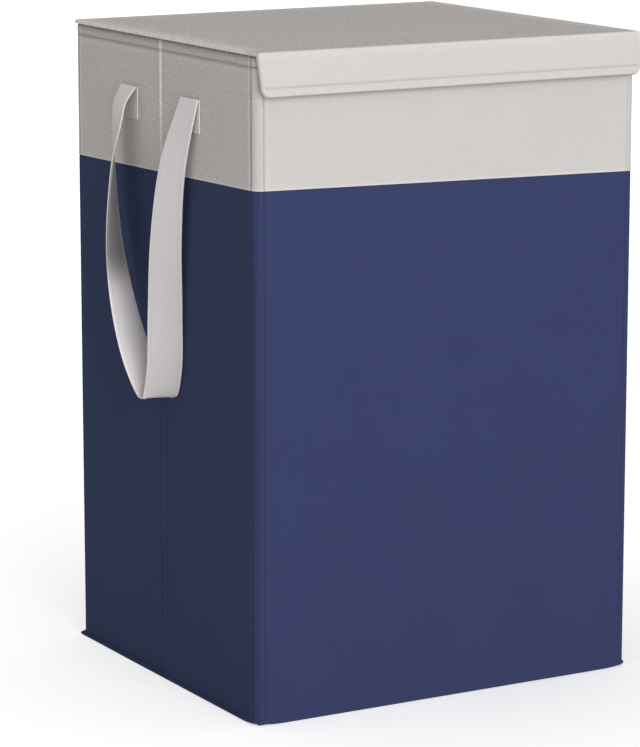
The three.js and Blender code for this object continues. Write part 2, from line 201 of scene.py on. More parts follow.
class HamperSizes(bpy.types.PropertyGroup):
    """Sizes of the cloth, the seams and the straps"""

    cloth: length("Cloth Thickness", "Thickness of the outer cloth", 0.0007)
    lining: length("Lining Thickness", "Thickness of the lining cloth", 0.0005)
    seam_depth: length("Seam Depth", "How far the cloth dips into an upright seam", 0.0008)
    seam_width: length("Seam Width", "Width of the dip on each side of an upright seam", 0.0018)
    ridge_height: length("Ridge Height", "How far the crease of a side wall stands out", 0.0014)
    ridge_width: length("Ridge Width", "Width of each half of the crease's ridge", 0.0026)
    hem_drop: length("Hem Drop", "Distance from the rim down to the hem's stitching", 0.0101)
    hem_depth: length("Hem Depth", "How far the upper cloth turns down inside", 0.011)
    wave: length("Waviness", "How far the cloth waves on its boards", 0.0005)
    strap_width: length("Strap Width", "Width of a carrying strap", 0.0325)
    strap_thickness: length("Strap Thickness", "Thickness of a carrying strap", 0.0015)
    strap_drop: length("Strap Drop", "Height of a strap's hanging loop", 0.28)
    strap_standoff: length("Strap Standoff", "How far the loop's middle line stands out", 0.0192)
    strap_spacing: length("Strap Spacing", "Distance between the two ends of a strap", 0.123)
    stitch: length("Stitch Length", "Length of one stitch", 0.0026)
    stitch_gap: length("Stitch Gap", "Gap between two stitches", 0.0009)
    thread: length("Thread Thickness", "Thickness of the sewing thread", 0.0005)
    corner_lift: length("Corner Lift", "How far the foot lifts at the two front corners", 0.002)
    bag_slack: length("Bag Slack", "How far the bags' cloth sags inwards", 0.005)
    seed: IntProperty(name="Seed", description="Seed of the waves in the cloth", default=3, min=0)


class HamperColours(bpy.types.PropertyGroup):
    """Colours of the cloths, the board and the thread"""

    grey: colour("Grey Cloth", "Upper band, lid and flap", (0.64, 0.61, 0.59))
    navy: colour("Navy Cloth", "Lower band and foot", (0.042, 0.0525, 0.136))
    # A darker copy of the navy for the side walls: painted shade
    shaded_side_navy: colour("Shaded Side Navy Cloth", "Lower band at the sides", (0.037, 0.053, 0.115))
    strap: colour("Strap", "Webbing of the carrying straps", (0.708, 0.67, 0.663))
    lining: colour("Lining", "Lining of the walls and the lid", (0.6, 0.585, 0.56))
    bag: colour("Bag", "Lift-out bags", (0.68, 0.66, 0.61))
    felt: colour("Felt", "Pad of the floor", (0.32, 0.32, 0.31))
    board: colour("Cardboard", "Boards in the walls, the lid and the flap", (0.42, 0.29, 0.17))


def sizes():
    return bpy.context.scene.hamper_sizes


def colours():
    return bpy.context.scene.hamper_colours


def stitching_height():
    return rim_height - sizes().hem_drop


# Work on meshes


def take(piece=None):
    """Leaves edit mode and selects one piece, or none."""
    if bpy.context.mode != "OBJECT":
        done()
    bpy.ops.object.select_all(action="DESELECT")
    if piece:
        piece.select_set(True)
        bpy.context.view_layer.objects.active = piece


def apply_place(piece):
    take(piece)
    bpy.ops.object.transform_apply(location=True, rotation=True, scale=True)
    return piece


def size_new(name, scale=(1, 1, 1)):
    """Names what was just added and gives it its size."""
    piece = bpy.context.object
    piece.name = piece.data.name = name
    piece.scale = scale
    return apply_place(piece)


def add_sheet(name, across, up, columns, rows):
    """A flat grid that stands upright and faces -Y, between two places across and two heights."""
    take()
    bpy.ops.mesh.primitive_grid_add(
        x_subdivisions=columns, y_subdivisions=rows, size=1, rotation=(math.pi / 2, 0, 0),
        location=(sum(across) / 2, 0, sum(up) / 2))
    return size_new(name, (across[1] - across[0], up[1] - up[0], 1))


def add_block(name, lowest, highest):
    take()
    lowest, highest = Vector(lowest), Vector(highest)
    bpy.ops.mesh.primitive_cube_add(size=1, location=(lowest + highest) / 2)
    return size_new(name, highest - lowest)


def add_mesh(name, vertices, faces):
    mesh = bpy.data.meshes.new(name)
    mesh.from_pydata([tuple(v) for v in vertices], [], faces)
    piece = bpy.data.objects.new(name, mesh)
    bpy.context.collection.objects.link(piece)
    clean(piece)
    return piece


def edit(piece):
    take(piece)
    bpy.ops.object.mode_set(mode="EDIT")
    bpy.ops.mesh.select_mode(type="VERT")


def done():
    bpy.ops.object.mode_set(mode="OBJECT")


def pick_all():
    bpy.ops.mesh.select_all(action="SELECT")


def pick(piece, test, kind="VERT"):
    """Selects, in edit mode, what passes a test of its place, of its two places, or of its normal."""
    bpy.ops.mesh.select_mode(type=kind)
    mesh = bmesh.from_edit_mesh(piece.data)
    for item in (*mesh.faces, *mesh.edges, *mesh.verts):
        item.select = False
    if kind == "VERT":
        for vertex in mesh.verts:
            vertex.select = bool(test(vertex.co))
        mesh.select_flush(True)
    elif kind == "EDGE":
        for edge in mesh.edges:
            if test(edge.verts[0].co, edge.verts[1].co):
                edge.select = True
    else:
        for face in mesh.faces:
            face.select = test(face.normal)
    bmesh.update_edit_mesh(piece.data)


def at(axis, place):
    return lambda co: abs(co[axis] - place) < TOUCH


def upright(a, b):
    """Whether an edge between two places stands upright."""
    return abs(a.x - b.x) < TOUCH and abs(a.y - b.y) < TOUCH


def round_edges(piece, offset, segments, test=None):
    """Rounds, in edit mode, the edges whose two ends pass the test, or all edges."""
    if test:
        pick(piece, test, "EDGE")
    else:
        pick_all()
    bpy.ops.mesh.bevel(offset=offset, segments=segments, affect="EDGES")


def delete_faces(piece, test):
    pick(piece, test, "FACE")
    bpy.ops.mesh.delete(type="FACE")


def cut(axis, places):
    """Cuts all of the mesh in edit mode at places along an axis."""
    for place in places:
        point, normal = [0, 0, 0], [0, 0, 0]
        point[axis], normal[axis] = place, 1
        pick_all()
        bpy.ops.mesh.bisect(plane_co=point, plane_no=normal)


def cut_evenly(axis, first, last, step):
    """Cuts between two places along an axis, at even places about a step apart."""
    count = max(1, round((last - first) / step))
    cut(axis, [first + (last - first) * i / count for i in range(1, count)])


def cut_grid(lowest, highest, inset, step):
    """Cuts a box across and along its depth, between the insets from its sides."""
    for axis in (ACROSS, DEEP):
        cut_evenly(axis, lowest[axis] + inset, highest[axis] - inset, step)


def move(piece, test, offset):
    pick(piece, test)
    bpy.ops.transform.translate(value=offset)


def move_all(offset):
    pick_all()
    bpy.ops.transform.translate(value=offset)


def extrude(offset=(0, 0, 0)):
    bpy.ops.mesh.extrude_region_move(TRANSFORM_OT_translate={"value": offset})


def read(items, key, width=1, kind=float):
    """One property of all items, as an array."""
    values = np.empty(len(items) * width, kind)
    items.foreach_get(key, values)
    return values.reshape(-1, width) if width > 1 else values


def places_of(piece):
    return read(piece.data.vertices, "co", 3)


def reshape(piece, shaped):
    """Moves every vertex to where a function of all places puts it."""
    piece.data.vertices.foreach_set("co", shaped(places_of(piece)).ravel())
    piece.data.update()


def modifier(piece, kind, **settings):
    take(piece)
    added = piece.modifiers.new(kind.title(), kind)
    for key, value in settings.items():
        setattr(added, key, value)
    bpy.ops.object.modifier_apply(modifier=added.name)


def smooth(piece):
    modifier(
        piece, "SUBSURF", levels=1, render_levels=1, boundary_smooth="PRESERVE_CORNERS", uv_smooth="NONE")


def thicken(piece, thickness, offset=-1, **settings):
    modifier(piece, "SOLIDIFY", thickness=thickness, offset=offset, use_rim=True, **settings)


def round_band(piece, width):
    modifier(piece, "BEVEL", width=width, segments=2, limit_method="ANGLE", angle_limit=math.radians(60))


def clean(piece, outwards=None):
    """Joins loose corners and turns every face outwards, or an open sheet's faces to one side."""
    edit(piece)
    pick_all()
    bpy.ops.mesh.remove_doubles(threshold=0.00001)
    bpy.ops.mesh.normals_make_consistent(inside=False)
    done()
    if not outwards:
        return
    total = sum((face.normal * face.area for face in piece.data.polygons), Vector())
    if total.dot(outwards) < 0:
        edit(piece)
        pick_all()
        bpy.ops.mesh.flip_normals()
        done()


def soft_step(share):
    share = np.clip(share, 0, 1)
    return share * share * (3 - 2 * share)


def fade(distance, width):
    """1 at no distance, falling to 0 at the width."""
    return np.clip(1 - distance / width, 0, 1)


def line(places, axis, place, width):
    """1 on a line across an axis, falling to 0 at the width on each side."""
    return fade(np.abs(places[:, axis] - place), width)


def mark(values, places, lines):
    """Raises values along level lines. Each line has its height, its width and its share."""
    for height, width, share in lines:
        values = np.maximum(values, share * line(places, UP, height, width))
    return values


def inside(places, lowest, highest, axes=(ACROSS, DEEP)):
    """How far each place lies inside the sides of a box, along some axes."""
    return np.minimum.reduce([
        depth for axis in axes
        for depth in (places[:, axis] - lowest[axis], highest[axis] - places[:, axis])])


def ripple(places, seed, size):
    """Smooth waves between -1 and 1 over the places, the same each run."""
    dice = np.random.default_rng(sizes().seed + seed)
    total = np.zeros(len(places))
    for _ in range(7):
        way = dice.normal(size=3)
        way /= np.linalg.norm(way)
        total += np.sin(places @ way * (2 * math.pi / size) * dice.uniform(0.6, 1.7) + dice.uniform(0, 7))
    return total / 7 * 1.6


def swell(places, seed, size):
    """The same waves between 0 and 1."""
    return 0.5 + 0.5 * ripple(places, seed, size)


def paint(piece, **layers):
    """Stores values for each vertex, which the cloth's material reads as painted highlight (fold) and painted
    shade (seam).
    """
    for name, values in layers.items():
        layer = piece.data.attributes.get(name) or piece.data.attributes.new(name, "FLOAT", "POINT")
        layer.data.foreach_set("value", np.asarray(values, np.float32))


def lay_map(piece, flat):
    layer = piece.data.uv_layers.get("Cloth") or piece.data.uv_layers.new(name="Cloth")
    layer.data.foreach_set("uv", flat.ravel())


def map_cloth(piece):
    """Lays a flat map in metres on each face, from the side that it looks to."""
    mesh = piece.data
    looks_to = np.abs(read(mesh.polygons, "normal", 3)).argmax(1)
    sides = np.repeat(looks_to, read(mesh.polygons, "loop_total", kind=int))
    places = places_of(piece)[read(mesh.loops, "vertex_index", kind=int)]
    lay_map(piece, np.take_along_axis(places, np.array(((1, 2), (0, 2), (0, 1)))[sides], 1))


def finish_piece(piece, slot, node, body=None, kind=""):
    """Gives a piece its map, its material and its place among the bodies and the solids."""
    if "Cloth" not in piece.data.uv_layers:
        map_cloth(piece)
    piece.data.materials.clear()
    piece.data.materials.append(surface(slot, kind))
    take(piece)
    bpy.ops.object.shade_smooth_by_angle(angle=math.radians(50))
    if body:
        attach(piece, body)
    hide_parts(node)


def sew(piece, out, *runs):
    """Adds rows of stitches to a piece. Each run is a line of points. Out is the way that the cloth faces."""
    stitch, gap, thick = sizes().stitch, sizes().stitch_gap, sizes().thread
    around = 5
    ring = [(math.cos(a), math.sin(a)) for a in np.arange(around) * 2 * math.pi / around]
    # A stitch's section along itself: shares of its length and of its thickness
    profile_shares = ((-0.5, 0.25), (-0.32, 1), (0.32, 1), (0.5, 0.25))
    vertices, faces = [], []
    for run in runs:
        run = [Vector(p) for p in run]
        lengths = [0.0]
        for before, after in zip(run, run[1:]):
            lengths.append(lengths[-1] + (after - before).length)
        count = int((lengths[-1] - gap) / (stitch + gap))
        lead = (lengths[-1] - count * (stitch + gap)) / 2
        for i in range(count):
            place = lead + (i + 0.5) * (stitch + gap)
            k = max(j for j in range(len(run) - 1) if lengths[j] <= place)
            way = (run[k + 1] - run[k]).normalized()
            middle = run[k] + way * (place - lengths[k])
            side = way.cross(Vector(out(middle) if callable(out) else out)).normalized()
            facing = side.cross(way)
            first = len(vertices)
            for along, size in profile_shares:
                for c, s in ring:
                    vertices.append(
                        middle + way * (along * stitch) + side * (c * size * thick / 2)
                        + facing * (s * size * thick / 2 + thick * 0.1))
            for start in range(first, first + around * 3, around):
                for m in range(around):
                    n = (m + 1) % around
                    faces.append((start + m, start + n, start + around + n, start + around + m))
            faces.append(tuple(range(first, first + around))[::-1])
            faces.append(tuple(range(first + 3 * around, first + 4 * around)))
    stitches = add_mesh("Stitches", vertices, faces)
    take(piece)
    stitches.select_set(True)
    bpy.ops.object.join()


def crossed_box(place, near, far, down, top):
    """Runs of stitches around a box and across it. A function gives the place for a width and a height."""
    a, b, c, d = place(near, down), place(far, down), place(far, top), place(near, top)
    return [a, b, c, d, a], [a, c], [d, b]


# Materials


def fill(node, inputs):
    """Sets a node's inputs to values, or links them to other nodes."""
    for key, value in inputs.items():
        if isinstance(value, bpy.types.NodeSocket):
            node.id_data.links.new(value, node.inputs[key])
        else:
            node.inputs[key].default_value = value


def add_node(tree, kind, inputs=None, **settings):
    node = tree.nodes.new(f"ShaderNode{kind}")
    for key, value in settings.items():
        setattr(node, key, value)
    fill(node, inputs or {})
    return node


def calc(operation, *values):
    """A sum in the node tree that its values come from."""
    tree = next(value for value in values if isinstance(value, bpy.types.NodeSocket)).id_data
    return add_node(tree, "Math", dict(enumerate(values)), operation=operation).outputs[0]


def add(first, *others):
    for other in others:
        first = calc("ADD", first, other)
    return first


def times(a, b):
    return calc("MULTIPLY", a, b)


def noise(vector, stretch, scale, detail=2.0, roughness=0.5):
    stretched = add_node(vector.id_data, "Mapping", {"Scale": stretch, "Vector": vector}).outputs["Vector"]
    return add_node(vector.id_data, "TexNoise", {
        "Scale": scale, "Detail": detail, "Roughness": roughness, "Vector": stretched}).outputs["Fac"]


def bumps(height, strength, distance):
    return add_node(height.id_data, "Bump", {
        "Strength": strength, "Distance": distance, "Height": height}).outputs["Normal"]


def object_place(tree):
    return add_node(tree, "TexCoord").outputs["Object"]


def woven_group():
    """Plain weave with uneven threads: its colour, with painted highlights and painted shade, its height, and
    its shine.
    """
    found = bpy.data.node_groups.get("Woven Cloth")
    if found:
        return found
    group = bpy.data.node_groups.new("Woven Cloth", "ShaderNodeTree")
    for way, labels in (
            ("INPUT", ("Colour", "Speckle", "Mottle", "Threads", "Painted Fold Highlight", "Painted Seam Shade", "Roughness")),
            ("OUTPUT", ("Colour", "Roughness", "Height"))):
        for label in labels:
            kind = "NodeSocketColor" if label == "Colour" else "NodeSocketFloat"
            group.interface.new_socket(name=label, in_out=way, socket_type=kind)
    given = group.nodes.new("NodeGroupInput").outputs
    cloth_map = add_node(group, "UVMap", uv_map="Cloth").outputs["UV"]
    apart = add_node(group, "SeparateXYZ", {0: cloth_map}).outputs
    turns = times(given["Threads"], math.pi)
    weave = times(*(calc("SINE", times(apart[side], turns)) for side in ("X", "Y")))
    slubs = add(*(noise(cloth_map, stretch, 1400) for stretch in ((0.22, 1, 1), (1, 0.22, 1))))
    grain = noise(cloth_map, (1, 1, 1), 420, 3.0, 0.7)
    patches = noise(object_place(group), (1, 1, 1), 16, 3.0, 0.55)
    # The fold attribute is a painted highlight and the seam attribute is painted shade
    fold, seam = (
        add_node(group, "Attribute", attribute_name=name).outputs["Fac"] for name in ("fold", "seam"))
    shade = add(
        times(add(slubs, grain, -1.5), given["Speckle"]), times(add(patches, -0.5), given["Mottle"]), 1.0,
        times(fold, given["Painted Fold Highlight"]))
    shade = calc("SUBTRACT", shade, times(seam, given["Painted Seam Shade"]))
    tint = add_node(group, "VectorMath", {0: given["Colour"], "Scale": shade}, operation="SCALE")
    fill(group.nodes.new("NodeGroupOutput"), {
        "Colour": tint.outputs[0],
        "Roughness": add(given["Roughness"], times(weave, -0.05)),
        "Height": add(times(weave, 0.4), slubs)})
    return group


def woven(shader, base, speckle, mottle, threads, relief, painted_fold_highlight, painted_seam_shade, roughness, sheen):
    weave = add_node(shader.id_data, "Group", node_tree=woven_group())
    fill(weave, {
        "Colour": base, "Speckle": speckle, "Mottle": mottle, "Threads": threads, "Painted Fold Highlight": painted_fold_highlight,
        "Painted Seam Shade": painted_seam_shade, "Roughness": roughness})
    fill(shader, {
        "Specular IOR Level": 0.12, "Sheen Weight": sheen, "Sheen Roughness": 0.6,
        "Base Color": weave.outputs["Colour"], "Roughness": weave.outputs["Roughness"],
        "Normal": bumps(weave.outputs["Height"], 0.6, relief)})


def cardboard(shader):
    """Brown board with fibres in its paper and the faint lines of its inner waves."""
    tree = shader.id_data
    place = object_place(tree)
    fibres = noise(place, (0.15, 0.15, 1), 900, 4.0, 0.6)
    flecks = noise(place, (1, 1, 1), 260)
    waves = add_node(
        tree, "TexWave", {"Scale": 40, "Distortion": 0.4, "Vector": place},
        bands_direction="Z").outputs["Fac"]
    base = Vector(colours().board[:3])
    mix = add_node(tree, "Mix", {
        0: times(add(times(waves, 0.25), flecks), add(fibres, 0.3)),
        6: (*(base * 0.8), 1), 7: (*(base * 1.15), 1)}, data_type="RGBA")
    fill(shader, {
        "Specular IOR Level": 0.2, "Base Color": mix.outputs[2], "Roughness": add(times(fibres, 0.15), 0.8),
        "Normal": bumps(add(waves, fibres), 0.5, 0.0002)})


def new_material(name):
    material = bpy.data.materials.new(name)
    material.use_nodes = True
    return material, material.node_tree.nodes["Principled BSDF"]


def surface(slot, kind=""):
    """The material of a slot. A kind is the same cloth at a place where it looks a little different."""
    name = f"{slot.replace('_', ' ').title()} {kind}".strip()
    found = bpy.data.materials.get(name)
    if found:
        return found
    material, shader = new_material(name)
    if slot == "cardboard":
        cardboard(shader)
        return material
    shade, flecks, *others = cloths[slot]
    # The sides take the darker copy of the navy, painted shade
    shade = "shaded_side_navy" if kind == "Side" else shade
    woven(shader, getattr(colours(), shade), grey_flecks.get(kind, flecks), *others)
    return material


# Walls


def wall_sheet(name, kind, levels, step, rows):
    *_, start, end, _ = walls[name]
    return add_sheet(f"{name}_{kind}_panel", (start, end), levels, max(4, round((end - start) / step)), rows)


def place_on_wall(piece, name):
    """Turns a piece that was made facing -Y at y = 0 to its wall, and out to the wall's face."""
    _, degrees, face, *_ = walls[name]
    piece.matrix_world = Matrix.Rotation(math.radians(degrees), 4, "Z") @ Matrix.Translation((0, -face, 0))
    apply_place(piece)


def dip_ends(piece, name):
    """Rolls a wall cloth's ends into its seams, and raises the ridge at the crease, in edit mode."""
    *_, start, end, crease = walls[name]
    for edge, inwards in ((start, 1), (end, -1)):
        cut(ACROSS, [edge + inwards * away for away in (0.0034, 0.0042, 0.0058)])
        shares, reach, back = dip_shares, sizes().seam_width, sizes().seam_depth
        if crease == -inwards:
            shares, reach, back = ridge_shares, sizes().ridge_width, -sizes().ridge_height
        cut(ACROSS, [edge + inwards * reach * share for share, _ in shares[:-1]])
        for share, height in shares[1:]:
            move(piece, at(ACROSS, edge + inwards * reach * share), (0, back * height, 0))


def bend_rows(piece, edge, way, rows):
    """Cuts level rows near an edge of a wall cloth and moves them out, in edit mode."""
    for away, out in rows[::-1]:
        if away:
            cut(UP, (edge + way * away,))
        if out:
            move(piece, at(UP, edge + way * away), (0, -out, 0))


def press_row(piece, height, half_row, depth):
    """Presses a level line into a sheet that faces -Y, in edit mode."""
    cut(UP, (height - half_row, height, height + half_row))
    move(piece, at(UP, height), (0, depth, 0))


def turn_in_crease(piece, below):
    """Turns the cloth's end at the crease in between the wall halves, in edit mode."""
    pick(piece, lambda co: abs(co.x) < TOUCH and co.z < below)
    extrude((0, 0.002, 0))
    extrude((0, 0.0018, 0))


def wave_wall(piece, name, levels):
    """Waves a wall's cloth gently on its board, and not at its seams."""
    *_, start, end, _ = walls[name]
    seam_room = 0.004
    letters = sum(ord(letter) for letter in name)

    def waved(places):
        edge = inside(
            places, (start + seam_room, 0, levels[0]), (end - seam_room, 0, levels[1]), (ACROSS, UP))
        hold = soft_step(edge / 0.035) * (places[:, 1] < 0.0005)
        lift = (ripple(places, letters, 0.17) + 0.3 * ripple(places, letters + 1, 0.06) + 0.6) * 0.5
        places[:, 1] -= lift.clip(-0.2, 1) * sizes().wave * hold
        return places

    reshape(piece, waved)


def paint_wall(piece, name, folds, seams, strength):
    """Paints highlights on the crease and the folds, and shade at the seams, on a sheet that faces -Y. The
    navy cloth shows them less.
    """
    *_, start, end, crease = walls[name]
    places = places_of(piece)
    fold, seam = np.zeros((2, len(places)))
    for edge, inwards in ((start, 1), (end, -1)):
        if crease == -inwards:
            # A painted highlight along the crease's ridge, and on the front halves a painted shadow at the
            # ridge's foot
            ridge_light = 2.2 * strength - 0.4
            fold = np.maximum(fold, ridge_light * line(places, ACROSS, edge + inwards * 0.0009, 0.0024))
            if name.endswith("front"):
                seam = np.maximum(seam, 0.5 * line(places, ACROSS, edge + inwards * 0.0042, 0.0016))
        else:
            # The painted shade at the corner seams and the painted highlight beside them are strongest on the
            # side walls and weakest at the front's right end
            dark, light = (1.8, 1.5) if crease else (0.7, 0.3) if inwards > 0 else (0.3, 0.1)
            seam = np.maximum(seam, dark * strength * line(places, ACROSS, edge, 0.0014))
            fold = np.maximum(fold, light * strength * line(places, ACROSS, edge + inwards * 0.0034, 0.0022))
    paint(piece, fold=mark(fold, places, folds), seam=mark(seam, places, seams))


def grey_lines(rim_share):
    """Painted highlights on folds and painted shade at seams along the grey band: the height, width and share
    of each.
    """
    stitching = stitching_height()
    folds = (grey_levels[0] + 0.0008, 0.0016, 1), (stitching - 0.0022, 0.0016, 1.1)
    seams = (stitching, 0.0013, 2), (rim_height + 0.004, 0.014, rim_share), (rim_height - 0.001, 0.0035, 2)
    return folds, seams


def slant_seam(piece):
    """Lets the seam between the bands run a little off level, as it was sewn, and the cloth with it."""
    heights = (wall_foot, band_seam - 0.003, band_seam + 0.004, stitching_height() - 0.005)

    def slanted(places):
        across = np.clip(places[:, 0] / (2 * half_width) + 0.5, 0, 1)
        along = np.clip(places[:, 1] / (2 * half_depth) + 0.5, 0, 1)
        rise = sum(
            up * (across if side > 0 else 1 - across) * (along if end > 0 else 1 - along)
            for (side, end), up in seam_slants.items())
        places[:, 2] += rise * np.interp(places[:, 2], heights, (0, 1, 1, 0))
        return places

    reshape(piece, slanted)


def navy_panel(name):
    body, *_, crease = walls[name]
    bottom, top = navy_levels
    piece = wall_sheet(name, "navy", navy_levels, 0.03, 15)
    edit(piece)
    dip_ends(piece, name)
    bend_rows(piece, top, -1, navy_edge_rows)
    if crease:
        turn_in_crease(piece, rim_height)
    done()
    wave_wall(piece, name, navy_levels)
    smooth(piece)
    # Painted shade along the foot of the side walls, and weaker painted light at the seams and the crease
    paint_wall(piece, name, (), ((bottom, 0.006, 0.3 if crease else 0.0),), 0.22)
    thicken(piece, sizes().cloth)
    place_on_wall(piece, name)
    slant_seam(piece)
    # The side walls take the darker copy of the navy, painted shade
    finish_piece(piece, "navy_cloth", f"{name}_lower_cloth", body, "Side" if crease else "")


def grey_panel(name):
    body, *_, start, end, crease = walls[name]
    bottom, top = grey_levels
    piece = wall_sheet(name, "grey", grey_levels, 0.03, 5)
    stitching = stitching_height()
    edit(piece)
    dip_ends(piece, name)
    press_row(piece, stitching, 0.0009, 0.0006)
    bend_rows(piece, bottom, 1, grey_edge_rows)
    if crease:
        turn_in_crease(piece, rim_height - 0.002)
    pick(piece, lambda co: abs(co.z - top) < TOUCH and co.y < 0.0012)
    roll = (
        (0.0004, 0.0011), (0.001, 0.0005), (wall_thickness - 0.0028, 0), (0.001, -0.0005), (0.0004, -0.0011))
    for inwards, up in roll:
        extrude((0, inwards, up))
    for share in (0.5, 0.35, 0.15):
        extrude((0, 0, -share * (sizes().hem_depth - 0.0016)))
    done()
    wave_wall(piece, name, grey_levels)
    smooth(piece)
    # Painted highlights and painted shade of the grey band, with a painted shadow of the lid on the hem band
    # and under its edge
    paint_wall(piece, name, *grey_lines(1.05), 1)
    thicken(piece, sizes().cloth)
    lead = 0.003
    for facing, y, z in ((-1, 0.0003, stitching), (1, wall_thickness + 0.0001, stitching + 0.0012)):
        sew(piece, (0, facing, 0), [(start + lead, y, z), (end - lead, y, z)])
    place_on_wall(piece, name)
    slant_seam(piece)
    finish_piece(piece, "grey_cloth", f"{name}_upper_cloth", body, "Front" if name == "front" else "")


def lining_panel(name):
    node = f"{name}_lining"
    body, *_, start, end, _ = walls[name]
    levels = low(node).z, high(node).z
    piece = wall_sheet(name, "lining", levels, 0.04, 12)
    edit(piece)
    move_all((0, wall_thickness, 0))
    bpy.ops.mesh.flip_normals()
    done()

    def waved(places):
        edge = inside(places, (start, 0, levels[0]), (end, 0, levels[1]), (ACROSS, UP))
        places[:, 1] += swell(places, 40 + len(name), 0.12).clip(0, 1) * 0.0005 * soft_step(edge / 0.03)
        return places

    reshape(piece, waved)
    smooth(piece)
    thicken(piece, sizes().lining)
    place_on_wall(piece, name)
    finish_piece(piece, "lining_cloth", node, body)


def angle_around(places):
    """The angle of each place around Z, in degrees from -Y."""
    return np.degrees(np.arctan2(places[:, 0], -places[:, 1]))


def corner_cloth(name, band):
    """A quarter-round cloth between the seams of two walls. It is spun from one upright line of points."""
    side, end, degrees, front_or_back, side_wall = corners[name]
    grey = band == "upper"
    cloth_name = "grey_cloth" if grey else "navy_cloth"
    bottom, top = grey_levels if grey else navy_levels
    edge, way, rows = (bottom, 1, grey_edge_rows) if grey else (top, -1, navy_edge_rows)
    piece = add_sheet(f"{name}_{cloth_name}", (0, 0.01), (bottom, top), 1, 5 if grey else 15)
    stitching = stitching_height()
    gap_angle = HALF_GAP / corner_radius
    edit(piece)
    pick(piece, lambda co: co.x > 0.005)
    bpy.ops.mesh.delete(type="VERT")
    move_all((0, -corner_radius, 0))
    bpy.ops.transform.rotate(value=gap_angle, orient_axis="Z", center_override=(0, 0, 0))
    bpy.ops.mesh.spin(steps=12, angle=-math.pi / 2 - 2 * gap_angle, center=(0, 0, 0), axis=(0, 0, 1))
    pick_all()
    bpy.ops.mesh.remove_doubles(threshold=0.000001)
    pressed = (stitching - 0.0009, stitching, stitching + 0.0009) if grey else ()
    cut(UP, (*pressed, *(edge + way * away for away, _ in rows[1:])))
    done()
    angle = angle_around(places_of(piece))
    angle *= np.sign(angle.mean())

    def shaped(places):
        reach = np.hypot(places[:, 0], places[:, 1])
        arc = np.radians(np.minimum(angle, 90 - angle)) * corner_radius
        out = np.interp((places[:, 2] - edge) * way, *zip(*rows))
        out -= 0.0006 * (np.abs(places[:, 2] - stitching) < TOUCH)
        out -= sizes().seam_depth * fade(arc + HALF_GAP, sizes().seam_width) ** 2
        places[:, :2] *= ((reach + out) / reach)[:, None]
        return places

    reshape(piece, shaped)
    if grey:
        edit(piece)
        pick(piece, at(UP, top))
        roll = (0.0004, 0.0011), (0.001, 0.0005), (0.0013, 0), (0.0009, -0.0006), (0.0002, -0.0012)
        for inwards, up in roll:
            extrude((0, 0, up))
            reach = max(v.co.xy.length for v in bmesh.from_edit_mesh(piece.data).verts if v.select)
            share = (reach - inwards) / reach
            bpy.ops.transform.resize(value=(share, share, 1), center_override=(0, 0, 0))
        extrude((0, 0, 0.0018 - sizes().hem_depth))
        done()
    smooth(piece)
    places = places_of(piece)
    angle = np.abs(angle_around(places))
    arc = np.radians(np.minimum(angle, 90 - angle)) * corner_radius
    at_side = (angle > 45) == (side * end < 0)
    # Painted shade at the seams and, more faintly, over the whole strip, weaker at the front right corner,
    # with a painted highlight beside the seams
    strength = (1 if grey else 0.22) * (0.4 if name == "front_right_corner" else 1)
    seam = np.maximum((0.7 + 1.1 * at_side) * strength * fade(arc + HALF_GAP, 0.0016), 0.15 if grey else 0.1)
    fold = 0.3 * fade(np.abs(arc - 0.002), 0.0012)
    folds, seams = grey_lines(0.9) if grey else ((), ())
    paint(piece, fold=mark(fold, places, folds).clip(0, 1), seam=mark(seam, places, seams))
    clean(piece, Vector((0.5, -0.5, 0)))
    thicken(piece, sizes().cloth)
    centre = Vector((side * (half_width - corner_radius), end * (half_depth - corner_radius), 0))
    piece.matrix_world = Matrix.Translation(centre) @ Matrix.Rotation(math.radians(degrees), 4, "Z")
    apply_place(piece)
    slant_seam(piece)
    finish_piece(piece, cloth_name, f"{name}_{band}_cloth", kind="Corner" if grey else "")
    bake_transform(piece)


# Foot and floor


def rounded_ring(reach_x, front, back, front_radius, back_radius, along_depth, along_width):
    """Places around a level rectangle with rounded corners, with equally many places whatever its size."""
    rounded = (
        (reach_x - front_radius, front + front_radius, -90, front_radius),
        (reach_x - back_radius, back - back_radius, 0, back_radius),
        (back_radius - reach_x, back - back_radius, 90, back_radius),
        (front_radius - reach_x, front + front_radius, 180, front_radius))
    arcs = []
    for x, y, first, radius in rounded:
        angles = [math.radians(first + 22.5 * k) for k in range(5)]
        arcs.append([(x + radius * math.cos(a), y + radius * math.sin(a)) for a in angles])
    places = []
    for i, arc in enumerate(arcs):
        count = along_width if i % 2 else along_depth
        begin, end = np.array(arc[-1]), np.array(arcs[(i + 1) % 4][0])
        places += arc + [tuple(begin + (end - begin) * (k / count)) for k in range(1, count)]
    return np.array(places)


def ring_piece(name, levels):
    """A closed band through level rings of places, in order around its section."""
    count = len(levels[0][0])
    faces = []
    for i in range(len(levels)):
        j = (i + 1) % len(levels)
        for k in range(count):
            m = (k + 1) % count
            faces.append((i * count + k, i * count + m, j * count + m, j * count + k))
    return add_mesh(name, [(x, y, z) for ring, z in levels for x, y in ring], faces)


def fold_at_foot(piece):
    """Gives a piece of the foot its own mesh."""
    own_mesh(piece)


